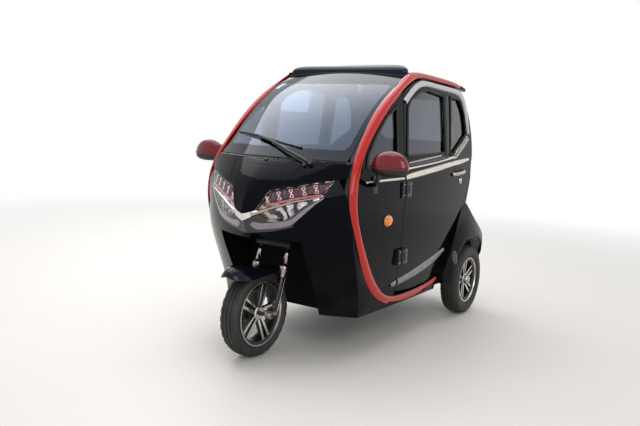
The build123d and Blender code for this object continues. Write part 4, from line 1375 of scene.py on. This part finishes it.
keep("side_lamp_domes", stand_on(dome, on_panel(*SIDE_LAMP, 0.003), (1, 0, 0)), amber_dome,
     "body", both_sides=True, replaces=["turn_lamps"])
foot = oval((0.094, 0.070, 0.005), 0.94, 48)
keep("side_lamp_feet", stand_on(foot, on_panel(*SIDE_LAMP, -0.001), (1, 0, 0)), black_plastic,
     "body", both_sides=True)
spot_at, spot_normal = skin_of("fenders").find_nearest(Vector((0.518, 0.512, 0.408)))[:2]
spot = oval((0.056, 0.094, 0.006), 0.88, 40)
dark_ruby = mottled(*material("dark_red_reflector", "3d080c", 0.2, Coat_Weight=0.15),
                    "3d080c", "28060a", 8)
keep("guard_reflectors", stand_on(spot, spot_at, spot_normal), dark_ruby, "body",
     both_sides=True)
print("reflector faces", tuple(round(c, 2) for c in spot_normal))

# %% [markdown]
# ## Rear guards
# The edge of a pressed guard is rolled over. A bead on the edge of the CAD guard shows that
# roll, and a liner closes the guard on the inside.

# %% Rolled lips and liners of the rear guards
LIP_R, LINER_R = 0.293, 0.284
FIRST_TURN, LAST_TURN = -83, 68            # degrees from straight up, towards the rear
EDGE_X, TAPER_FROM_Y = 0.518, 0.955        # the guard's edge, and where it turns inwards
WELL_X = 0.368                             # inner edge of the liner
_, AXLE_Y, AXLE_Z = REAR_AXLE["left"]
lip, liner = [], [[], []]
for i in range(61):
    turn = math.radians(FIRST_TURN + i * (LAST_TURN - FIRST_TURN) / 60)
    y, z = AXLE_Y + LIP_R * math.sin(turn), AXLE_Z + LIP_R * math.cos(turn)
    edge = EDGE_X if y < TAPER_FROM_Y else EDGE_X - 0.5 * (y - TAPER_FROM_Y)
    lip.append(Vector((edge, y, z)))
    y, z = AXLE_Y + LINER_R * math.sin(turn), AXLE_Z + LINER_R * math.cos(turn)
    liner[0].append(Vector((WELL_X, y, z)))
    liner[1].append(Vector((edge - 0.002, y, z)))
keep("guard_lips", piping(lip, 0.0045), gloss_black, "body", both_sides=True)
keep("guard_liners", sheet_between(liner, 0.002, Vector((0, 0, 1))), black_plastic, "body",
     both_sides=True)
print("guard lips", round(sum((b - a).length for a, b in zip(lip, lip[1:])), 3), "m each")

# %% [markdown]
# ## Fork
# Each leg is a chromed slider that runs in a cast lower leg with a flared dust collar. The
# collars' rose tint is a painted reflection of the red paint, and a bright bead up each leg is a
# painted highlight along its edge. A black clamp joins the sliders, and a cast foot holds the
# axle.

# %% Fork legs
FOOT = Vector((0, -0.780, 0.228))
UP = Vector((0, math.sin(math.radians(18)), math.cos(math.radians(18))))
LEG = 0.088
LEGS = (-LEG, LEG)


def about(profile, foot, axis, steps=48):
    """A closed (distance, radius) outline turned about an axis through foot."""
    shape = turned(profile, (0, 0, 0), steps)
    turn = Vector((1, 0, 0)).rotation_difference(Vector(axis)).to_matrix().to_4x4()
    turn.translation = foot
    bmesh.ops.transform(shape, matrix=turn, verts=shape.verts)
    return shape


def aside(x):
    """The foot of the leg at x."""
    return FOOT + Vector((x, 0, 0))


sliders = [about([(0.236, 0.0), (0.236, 0.0125), (0.371, 0.0125), (0.371, 0.0)], aside(x), UP)
           for x in LEGS]
keep("fork_sliders", merged(*sliders), chrome_darkened_for_painted_reflection, "steering", replaces=["fork_upper"])
clamp = bar((2 * LEG + 0.042, 0.052, 0.032), 0.006, 3)
stand_on(clamp, FOOT + UP * 0.352, UP, (0, -1, 0.3))
stem = about([(0.352, 0.0), (0.352, 0.015), (0.786, 0.015), (0.786, 0.0)], FOOT, UP)
crease(keep("fork_clamp", merged(clamp, stem), chassis_black, "steering"))
LEG_PROFILE = [(-0.014, 0.0), (-0.014, 0.0125), (-0.008, 0.0160), (0.060, 0.0165), (0.150, 0.0168),
               (0.186, 0.0170), (0.190, 0.0140), (0.190, 0.0)]
COLLAR = [(0.184, 0.0), (0.184, 0.0172), (0.200, 0.0185), (0.218, 0.0215), (0.232, 0.0238),
          (0.238, 0.0232), (0.241, 0.0150), (0.241, 0.0)]
leg_alloy = bare_metal("lacquered_leg_casting", "3d3a3b", 0.22, 50, 1.5, 0.02)
# The collars' rose tint is a painted reflection of the red paint nearby.
collar_alloy_with_painted_red_reflection = bare_metal("polished_collar_casting_with_painted_red_reflection", "a08f90", 0.24, 50, 1.5, 0.02)
collars = merged(*[about(COLLAR, aside(x), UP) for x in LEGS])
crease(keep("fork_collars", collars, collar_alloy_with_painted_red_reflection, "steering"), 40)
# A bright bead up the outer front of each leg: a painted highlight along the edge of the dark leg.
ridges = [piping([aside(x) + UP * t + Vector((math.copysign(0.0130, x), 0.0090, 0.0))
                  for t in (0.010, 0.100, 0.188)], 0.0030) for x in LEGS]
keep("fork_leg_highlight_beads", merged(*ridges), turned_alloy, "steering")
legs = [about(LEG_PROFILE, aside(x), UP) for x in LEGS]
axle = about([(-LEG - 0.026, 0.0), (-LEG - 0.026, 0.0095), (LEG + 0.026, 0.0095),
              (LEG + 0.026, 0.0)], Vector(FRONT_AXLE), (1, 0, 0))
crease(keep("fork_legs", merged(axle, *legs), leg_alloy, "steering",
            replaces=["fork_lower"]), 40)
print("fork legs", len(legs))

# %% [markdown]
# ## Axle feet
# A cast lug joins each leg to a boss round the axle, with a nut on its end and two small
# hexagon screws in front.

# %% Feet of the fork
feet = []
for x in LEGS:
    lug = bar((0.026, 0.034, 0.066), 0.006, 3)
    on_axle = Vector((x, *FRONT_AXLE[1:]))
    halfway = (aside(x) + on_axle) / 2
    feet.append(stand_on(lug, halfway, (0, -0.99, -0.14), (1, 0, 0)))
    feet.append(about([(-0.015, 0.0), (-0.015, 0.0165), (-0.012, 0.0185), (0.012, 0.0185),
                       (0.015, 0.0165), (0.015, 0.0)], on_axle, (1, 0, 0)))
    nut = plug(0.0125, 0.0125, 0.010, 6)
    feet.append(stand_on(nut, (x + math.copysign(0.020, x), *FRONT_AXLE[1:]), (1, 0, 0)))
    for step in (0.030, 0.052):
        feet.append(stand_on(disc(0.005, 0.004, 0.8, 6),
                             aside(x) + UP * step + Vector((0, -0.0155, 0.005)), (0, -1, 0.3)))
print("parts of the feet:", len(feet))
crease(keep("axle_feet", merged(*feet), cast_alloy, "steering"))

# %% [markdown]
# ## Mirrors
# Each mirror is a painted dome with a flat foot, closed below by a black boat-shaped base on a
# short post. The glass stays on the back.

# %% Mirror domes, bases and posts
def boat(x, y, rows, back, columns=48):
    """A stack of oval rings (z, half width, half depth); nothing reaches behind y = back."""
    shape = bmesh.new()
    bmesh.ops.create_grid(shape, x_segments=columns, y_segments=len(rows) - 1, size=0.5)
    for v in shape.verts:
        turn = 2 * math.pi * (v.co.x + 0.5)
        z, a, b = rows[round((v.co.y + 0.5) * (len(rows) - 1))]
        v.co = Vector((x + a * math.cos(turn), min(y + b * math.sin(turn), back), z))
    bmesh.ops.remove_doubles(shape, verts=shape.verts, dist=1e-5)
    bmesh.ops.holes_fill(shape, edges=[e for e in shape.edges if e.is_boundary], sides=0)
    return shape


def dome_rows(low, high, a, b, power, steps=14):
    """The rings of a dome; a higher power makes its top flatter."""
    rows = []
    for i in range(steps):
        t = i / (steps - 1) * 0.995
        share = (1 - t ** power) ** 0.5
        rows.append((low + (high - low) * t, a * share, b * share))
    return rows


MIRROR_X, MIRROR_Y, MIRROR_BACK, SEAM_Z = 0.579, -0.560, -0.5205, 0.9965
MIRROR_HALF = 0.0995      # half its width
shell = boat(MIRROR_X, MIRROR_Y, dome_rows(0.985, 1.076, MIRROR_HALF, 0.045, 2.3), MIRROR_BACK)
crease(keep("mirror_domes", shell, deep_red, "body", both_sides=True,
            replaces=["mirror_shells"]), 50)
hull = boat(MIRROR_X, MIRROR_Y, [(0.984, 0.0965, 0.043), (0.974, 0.0940, 0.0415),
                                 (0.964, 0.0820, 0.0370), (0.957, 0.0640, 0.0300),
                                 (0.953, 0.0400, 0.0200)], MIRROR_BACK)
crease(keep("mirror_hulls", hull, black_plastic, "body", both_sides=True,
            replaces=["mirror_bases"]), 50)
ring = []
for i in range(31):
    turn = math.pi + i * math.pi / 30
    ring.append(Vector((MIRROR_X + 0.0990 * math.cos(turn),
                        min(MIRROR_Y + 0.0447 * math.sin(turn), MIRROR_BACK), SEAM_Z)))
keep("mirror_seams", piping(ring, 0.0012, sides=2), seal_rubber, "body",
     both_sides=True)
post = piping(smooth_line([(0.520, -0.556, 0.962), (0.514, -0.552, 0.935), (0.494, -0.530, 0.908),
                           (0.462, -0.500, 0.899)], 16), 0.0115)
foot = bar((0.050, 0.090, 0.014), 0.004)
stand_on(foot, (0.4655, -0.490, 0.899), (1, 0, 0))
keep("mirror_posts", merged(post, foot), black_plastic, "body", both_sides=True,
     replaces=["mirror_arms"])
print("mirror", 2 * MIRROR_HALF, "m wide")

# %% [markdown]
# ## Front guard
# The guard over the front wheel is a pressed shell with a beak, wide over the tyre and narrow
# where it passes between the fork legs.

# %% Front guard
#         y      half width, top and edge z
GUARD = [(-1.056, 0.014, 0.440, 0.436), (-1.040, 0.046, 0.457, 0.430),
         (-1.010, 0.068, 0.477, 0.424), (-0.975, 0.078, 0.486, 0.421),
         (-0.940, 0.083, 0.484, 0.422), (-0.885, 0.086, 0.474, 0.426),
         (-0.830, 0.087, 0.464, 0.432), (-0.785, 0.086, 0.460, 0.438),
         (-0.745, 0.068, 0.457, 0.441), (-0.702, 0.064, 0.454, 0.444)]
SQUARENESS = 2.8      # 2 gives a round section, more gives one with fuller shoulders
widths = smooth_line([(y, w, 0) for y, w, t, e in GUARD], 60)
heights = smooth_line([(y, t, e) for y, w, t, e in GUARD], 60)
rails = []
for j in range(25):
    share = j / 12 - 1
    rails.append([Vector((w.y * share, w.x, t.z + (t.y - t.z) * (1 - abs(share) ** SQUARENESS)))
                  for w, t in zip(widths, heights)])
crease(keep("front_guard", sheet_between(rails, 0.003, DOWNWARD), guard_black_with_painted_sky_tint, "steering",
            replaces=["front_mudguard"]), 40)
print("guard", round(GUARD[-1][0] - GUARD[0][0], 3), "m long")

# %% [markdown]
# ## Bonnet
# The bonnet is one large soft surface. A copy of the CAD panel is divided finely, and then its
# points move towards their neighbours a few times. Its outer edges stay where they are.

# %% Smoothed bonnet
LONGEST_EDGE, ROUNDS = 0.02, 8
KEPT_ANGLE = math.radians(22)

shape = welded("bonnet")
for _ in range(4):
    bmesh.ops.triangulate(shape, faces=shape.faces)
    long_ones = [e for e in shape.edges if e.calc_length() > LONGEST_EDGE]
    bmesh.ops.subdivide_edges(shape, edges=long_ones, cuts=1)
bmesh.ops.triangulate(shape, faces=shape.faces)
fixed = {v for e in shape.edges if len(e.link_faces) != 2
         or abs(e.calc_face_angle(0)) > KEPT_ANGLE for v in e.verts}
fixed |= {e.other_vert(v) for v in fixed for e in v.link_edges}
free = [(v, [e.other_vert(v) for e in v.link_edges]) for v in shape.verts if v not in fixed]
for _ in range(ROUNDS):
    moved = [sum((o.co for o in others), Vector()) / len(others) for v, others in free]
    for (v, others), to in zip(free, moved):
        v.co = v.co.lerp(to, 0.5)
print("bonnet smoothed over", len(free), "points")
crease(keep("bonnet_pressing", shape, gloss_black, "body", replaces=["bonnet"]), 50)

# %% [markdown]
# ## Roof hump
# The raised panel of the roof is a stack of rings. Each ring is its outline, seen from above,
# drawn a little smaller and higher, from a skirt that hides the joint to the nearly flat crown.

# %% Hump of the roof
HUMP = [(0.0, -0.0785), (0.150, -0.0785), (0.270, -0.0785), (0.345, -0.0775), (0.379, -0.070),
        (0.383, -0.034), (0.352, 0.018), (0.308, 0.060), (0.252, 0.160), (0.206, 0.260),
        (0.145, 0.360), (0.074, 0.412), (0.0, 0.428)]
#            plan scale, share of the height
SHOULDER = [(1.0, -0.40), (1.0, -0.08), (0.998, 0.12), (0.990, 0.36), (0.950, 0.62),
            (0.895, 0.81), (0.82, 0.925), (0.72, 0.98), (0.55, 1.0), (0.3, 1.0), (0.02, 1.0)]
FOOT_Z, CROWN_Z, CROWN_RISE = 1.497, 1.535, 0.020
CROWN_Y, CROWN_HALF = 0.2025, 0.2775      # where the crown is highest, and half its length
SHRINK_TO_Y = 0.150                       # the rings get smaller towards this line

half = smooth_line([(x, y, 0) for x, y in HUMP], 60)
outline = half + [Vector((-p.x, p.y, 0)) for p in reversed(half[:-1])]
rails = []
for scale, share in SHOULDER:
    rail = []
    for p in outline:
        y = SHRINK_TO_Y + (p.y - SHRINK_TO_Y) * scale
        top = CROWN_Z + CROWN_RISE * (1 - ((y - CROWN_Y) / CROWN_HALF) ** 2)
        if share < -0.1:     # the skirt is long at the windscreen and short from there on
            share = -0.40 if p.y < -0.05 else -0.10
        rail.append(Vector((p.x * scale, y, FOOT_Z + (top - FOOT_Z) * share)))
    rails.append(rail)
hump = sheet_between(rails)
bmesh.ops.remove_doubles(hump, verts=hump.verts, dist=1e-4)
crown = [e for e in hump.edges if e.is_boundary and e.verts[0].co.z > 1.53]
bmesh.ops.holes_fill(hump, edges=crown, sides=0)
bmesh.ops.recalc_face_normals(hump, faces=hump.faces)
thicken(hump, 0.003, DOWNWARD)
crease(keep("roof_hump", hump, roof_black_with_painted_sky_tint, "body"), 50)
print("crown of the hump closed over", len(crown), "edges")

# %% [markdown]
# ## Roof plate and nose
# The faces of the roof that lie under the hump are taken away. The lower corners of the nose
# are rolled: a copy of the CAD panel loses the edges of its flat facets and gets a bevel along
# the sharp ones that stay there.

# %% Roof plate and rolled nose
ROLL_RADIUS, SHARP = 0.018, math.radians(18)


def under_hump(p):
    """Whether a point lies inside the outline of the hump, seen from above."""
    inside = False
    for a, b in zip(outline, outline[1:]):
        if (a.y > p.y) != (b.y > p.y) and p.x < a.x + (b.x - a.x) * (p.y - a.y) / (b.y - a.y):
            inside = not inside
    return inside


def on_lower_corner(p):
    """Whether a point lies on one of the nose's lower outer corners."""
    return abs(p.x) > 0.435 and p.z < 0.7 and p.y < -0.5


plate = welded("roof")
gone = [face for face in plate.faces if face.normal.z > -0.2 and face.normal.y > -0.7
        and all(under_hump(v.co) for v in face.verts)]
bmesh.ops.delete(plate, geom=gone, context="FACES")
crease(keep("roof_pressing", plate, roof_black_with_painted_sky_tint, "body", replaces=["roof"]), 28)
print("roof faces under the hump taken away:", len(gone))
nose = welded("front_cowl")
bmesh.ops.dissolve_limit(nose, angle_limit=math.radians(1.5), verts=nose.verts, edges=nose.edges)
sharp = [e for e in nose.edges if len(e.link_faces) == 2 and e.calc_face_angle_signed(0) > SHARP
         and on_lower_corner((e.verts[0].co + e.verts[1].co) / 2)]
round_off(nose, sharp, ROLL_RADIUS, 4, clamp_overlap=True)
bmesh.ops.triangulate(nose, faces=[f for f in nose.faces if len(f.verts) > 4])
crease(keep("nose_pressing", nose, gloss_black, "body", replaces=["front_cowl"]),
       28)
print("nose rounded along", len(sharp), "edges")

# %% [markdown]
# ## Bonnet lines
# The bonnet has a washer flap with its jet, a crease on each side, and a rolled lower edge that
# catches the light above the lamps. Rubber closes the joints above and below the windscreen.
# All of them are fine beads laid on the skin.

# %% Flap, jet, creases and seals
def bead(points, radius, lift=0.0, count=50):
    """A fine round bead along (x, z) points on the front of the body."""
    return piping([on_front(p.x, p.y, lift) for p in smooth_line(points, count)], radius, sides=2)


flap = bead([(-0.108, 0.999), (-0.090, 0.987), (-0.060, 0.980), (-0.027, 0.976),
             (0.044, 0.976), (0.090, 0.979), (0.132, 0.985), (0.148, 0.999)], 0.0017)
keep("washer_flap_seam", flap, seal_rubber, "body")
jet = bar((0.020, 0.014, 0.010), 0.003)
keep("washer_jet", stand_on(jet, on_front(0.003, 0.999, 0.002), (0, -0.75, 0.65)), black_plastic,
     "body")
creases = merged(bead([(0.165, 0.893), (0.183, 0.925), (0.198, 0.960), (0.208, 0.988)], 0.0022),
                 bead([(0.062, 0.772), (0.077, 0.795), (0.090, 0.822), (0.101, 0.848),
                       (0.116, 0.863), (0.161, 0.873), (0.245, 0.893), (0.324, 0.912),
                       (0.372, 0.922)], 0.0028, -0.0006, 80))
keep("bonnet_creases", creases, gloss_black, "body", both_sides=True)
SEAL_R = 0.0035
top_seal = [Vector((x, -0.0795, 1.4915 - 0.13 * x * x)) for x in
            [(-0.385 + 0.77 * i / 50) for i in range(51)]]
foot_seal = [on_front(x, 1.017, 0.0045) + Vector((0, 0, -0.0045)) for x in
             [(-0.392 + 0.784 * i / 50) for i in range(51)]]
for name, line in (("screen_top_seal", top_seal), ("screen_foot_seal", foot_seal)):
    keep(name, piping(line, SEAL_R, sides=2), seal_rubber, "body")
print("seals above and below the windscreen:", len(top_seal), "points each")

# %% [markdown]
# ## Upholstery
# The seats are foam under black vinyl with sewn channels. The CAD blocks give their room. Each
# pad starts as a slightly smaller rounded block, is remeshed evenly, and is then blown up by a
# cloth simulation with pressure, as a tight cover is by its foam. How far a point may move is
# capped, so the pad stays in its room. The channels are pressed in after that.

# %% Vinyl and padding
vinyl, shader, place = material("black_seat_vinyl", "1b1b1e", 0.42, Sheen_Weight=0.08)
pores = add(vinyl, "TexVoronoi", {"Vector": place, "Scale": per_mm(1.6)})
bump(vinyl, shader, pores.outputs["Distance"], 0.05)
feed(vinyl, shader.inputs["Roughness"],
     ramp(vinyl, noise(vinyl, place, 90, 4.0), 0.3, 0.7, 0.32, 0.5))
VOXEL, SWELL = 0.006, 0.018      # grain of the even mesh, and how far a point may move
FRAMES = 20
SEAM_DEPTH, SEAM_HALF = 0.007, 0.006


def evaluated(piece):
    """Applies a piece's modifiers to its mesh."""
    graph = bpy.context.evaluated_depsgraph_get()
    done = bpy.data.meshes.new_from_object(piece.evaluated_get(graph))
    piece.modifiers.clear()
    piece.data = done


def pad(name, shape, channels, standing, replaces):
    """A swollen cushion; channels are the distances from its middle at which seams pull it in."""
    piece = keep(name, shape, vinyl, "body", replaces=replaces)
    remesh = piece.modifiers.new("even", "REMESH")
    remesh.mode, remesh.voxel_size = "VOXEL", VOXEL
    evaluated(piece)
    before = [v.co.copy() for v in piece.data.vertices]
    cloth = piece.modifiers.new("swell", "CLOTH")
    cloth.settings.use_pressure = True
    cloth.settings.uniform_pressure_force = 4.0
    cloth.settings.effector_weights.gravity = 0.0
    cloth.point_cache.frame_start, cloth.point_cache.frame_end = 1, FRAMES
    for number in range(1, FRAMES + 1):
        bpy.context.scene.frame_set(number)
    evaluated(piece)
    bpy.context.scene.frame_set(1)
    for v, old in zip(piece.data.vertices, before):
        step = v.co - old
        if step.length > SWELL:
            v.co = old + step.normalized() * SWELL
    box = [Vector(c) for c in piece.bound_box]
    low, high = min(c.z for c in box), max(c.z for c in box)
    front = min(c.y for c in box)
    for v in piece.data.vertices:
        near = min(abs(abs(v.co.x) - at) for at in channels)
        dent = SEAM_DEPTH * math.exp(-(near / SEAM_HALF) ** 2)
        if standing and v.normal.y < -0.3:
            v.co.y += dent
        elif not standing and v.normal.z > 0.3:
            v.co.z -= dent
    smoother = piece.modifiers.new("smooth", "SUBSURF")
    smoother.levels = smoother.render_levels = 1
    evaluated(piece)
    if not piece.data.materials:
        piece.data.materials.append(vinyl)
    for face in piece.data.polygons:
        face.use_smooth = True
    print(name, "from", round(low, 3), "to", round(high, 3), "m high, front at", round(front, 3))


print("vinyl:", vinyl.name, "swells by up to", SWELL)

# %% [markdown]
# ## Seats
# The driver has a seat of two pads on a plastic base, with a bench behind it. A backrest stands,
# so its seams are pressed in from the front, and a cushion lies, so they are pressed in from
# above.

# %% Seats
def block_between(half, lower, upper, soften):
    """A rounded block; a face is given by y and then z of its front and its rear edge."""
    shape = sharp_box()
    for v in shape.verts:
        y0, y1, z0, z1 = upper if v.co.z > 0 else lower
        v.co = Vector((half * (1 if v.co.x > 0 else -1), y0 if v.co.y < 0 else y1,
                       z0 if v.co.y < 0 else z1))
    return round_off(shape, shape.edges[:], soften, 4)


#         name               half width, lower face, upper face, rounding
#                            seams, standing
PADS = [("driver_cushion", (0.232, (0.040, 0.382, 0.456, 0.456), (0.040, 0.382, 0.506, 0.500),
                            0.022), (0.075, 0.150), False),
        ("driver_backrest", (0.212, (0.346, 0.384, 0.540, 0.540), (0.396, 0.424, 0.884, 0.884),
                             0.018), (0.070, 0.140), True),
        ("rear_cushion", (0.312, (0.450, 0.680, 0.536, 0.536), (0.450, 0.680, 0.576, 0.572),
                          0.018), (0.0, 0.110, 0.220), False),
        ("rear_backrest", (0.318, (0.656, 0.704, 0.606, 0.606), (0.734, 0.764, 0.866, 0.866),
                           0.018), (0.0, 0.110, 0.220), True)]
for name, block, channels, standing in PADS:
    pad(name, block_between(*block), channels, standing, [name.split("_")[0] + "_seat"])
base = bar((0.396, 0.316, 0.112), 0.012, 3)
bmesh.ops.translate(base, vec=(0, 0.220, 0.380), verts=base.verts)
keep("driver_seat_base", base, black_plastic, "body", replaces=["driver_seat"])
print("pads made:", len(PADS))

# %% [markdown]
# ## Controls
# The bar carries ribbed rubber grips, levers and a switch box on each side. A blank display
# stands on the dashboard.

# %% Grips, levers and display
def between(a, b, profile, steps=32):
    """A turned piece between two points; its profile is given from 0 to 1 along the way."""
    a, b = Vector(a), Vector(b)
    run = (b - a).length
    return about([(t * run, r) for t, r in profile], a, b - a, steps)


RIBS = 9
grips, levers, boxes = [], [], []
for s in (-1, 1):
    start, end = Vector((s * 0.225, -0.350, 1.026)), Vector((s * 0.303, -0.298, 1.0114))
    ridges = [(0.0, 0.0), (0.0, 0.0205), (0.04, 0.0215)]
    for i in range(RIBS):
        ridges += [(0.08 + i * 0.095, 0.0186), (0.08 + i * 0.095 + 0.06, 0.0198)]
    ridges += [(0.95, 0.0215), (1.0, 0.0200), (1.0, 0.0)]
    grips.append(between(start, end, ridges))
    boxes.append(stand_on(bar((0.034, 0.040, 0.036), 0.005),
                          start + Vector((-s * 0.018, -0.012, 0.004)), end - start))
    path = smooth_line([start + Vector((-s * 0.02, -0.030, 0.006)),
                        start + Vector((s * 0.030, -0.038, 0.000)),
                        end + Vector((0.0, -0.045, -0.008))], 20)
    levers.append(piping(path, 0.0045))
crease(keep("bar_grips", merged(*grips), seal_rubber, "steering"))
keep("bar_levers", merged(*levers), cast_alloy, "steering")
keep("bar_switches", merged(*boxes), black_plastic, "steering")
screen_box = bar((0.170, 0.075, 0.018), 0.006, 3)
sunk(screen_box, [f for f in screen_box.faces if f.normal.z > 0.99], 0.008, 0.003)
stand_on(screen_box, (0, -0.632, 1.012), (0, 0.55, 0.83), (0, -1, 0.6))
screen_off = mottled(*material("dark_display_glass", "07090c", 0.08, Coat_Weight=0.6),
                     "07090c", "0c1016", 40)
keep("display", screen_box, (black_plastic, screen_off), "body")
print("grips:", len(grips), "with", RIBS, "ribs each")

# %% [markdown]
# ## Tail
# The back carries a sealed window, framed lamps and the seam of its hatch. Each is a closed
# line that rays from behind lay on the body.

# %% Window seal, lamp frames and hatch seam
REAR = skin_of("rear_body", "rear_bumper", "tail_lamps")


def on_rear(x, z, lift):
    """Point on the back of the body, lifted backwards; beside it, the nearest one."""
    nearest = REAR.find_nearest(Vector((x, 1.2, z)))[0]
    hit = REAR.ray_cast(Vector((x, 2.0, z)), -BACKWARD)[0] or nearest
    return hit + Vector((0, lift, 0))


window_line = [(-0.253, 1.117), (0.253, 1.117), (0.294, 1.159), (0.274, 1.372), (0.232, 1.404),
               (-0.232, 1.404), (-0.274, 1.372), (-0.294, 1.159)]
window_loop = loop_on(on_rear, window_line, 0.02, 0.001, 140)
keep("rear_window_seal", piping(window_loop, 0.007, closed=True, sides=3), seal_rubber, "body")
lamp_line = [(0.287, 0.797), (0.423, 0.787), (0.433, 0.982), (0.381, 1.013), (0.297, 0.932)]
lamp_loop = loop_on(on_rear, lamp_line, 0.012, 0.001, 140)
keep("tail_lamp_frames", piping(lamp_loop, 0.0035, closed=True, sides=3), silver_strip_and_painted_ledge_highlight, "body",
     both_sides=True)
hatch = [(-0.30, 0.76), (-0.27, 1.02), (-0.33, 1.10), (-0.31, 1.40), (-0.26, 1.435), (0.26, 1.435),
         (0.31, 1.40), (0.33, 1.10), (0.27, 1.02), (0.30, 0.76)]
hatch_loop = loop_on(on_rear, hatch, 0.03, -0.0005, 140)
keep("tail_seams", piping(hatch_loop, 0.002, closed=True, sides=2), seal_rubber, "body")
print("rear window seal", round(sum((b - a).length for a, b in zip(
    window_loop, window_loop[1:])), 3), "m long")

# %% [markdown]
# ## Plate and reflectors
# The plate on its holder is blank and held by two bolts. A red oval sits at each end of the
# bumper.

# %% Plate and reflectors
BUMPER = skin_of("rear_bumper")
blank_plate = bar((0.240, 0.120, 0.002), 0.0006, 1)
stand_on(blank_plate, (0, 0.9175, 0.670), (0, 1, 0))
keep("rear_plate", blank_plate, white_plate, "body")
studs = [stand_on(disc(0.006, 0.004, 0.8, 16), (x, 0.9185, 0.670), (0, 1, 0))
         for x in (-0.09, 0.09)]
keep("plate_bolts", merged(*studs), ground_steel, "body")
marks = []
for s in (-1, 1):
    at, way = BUMPER.ray_cast(Vector((s * 0.27, 2, 0.44)), -BACKWARD)[:2]
    marks.append(stand_on(oval((0.090, 0.034, 0.006), 0.9, 40), at, way))
keep("rear_reflectors", merged(*marks), ruby, "body")
print("reflectors:", len(marks))
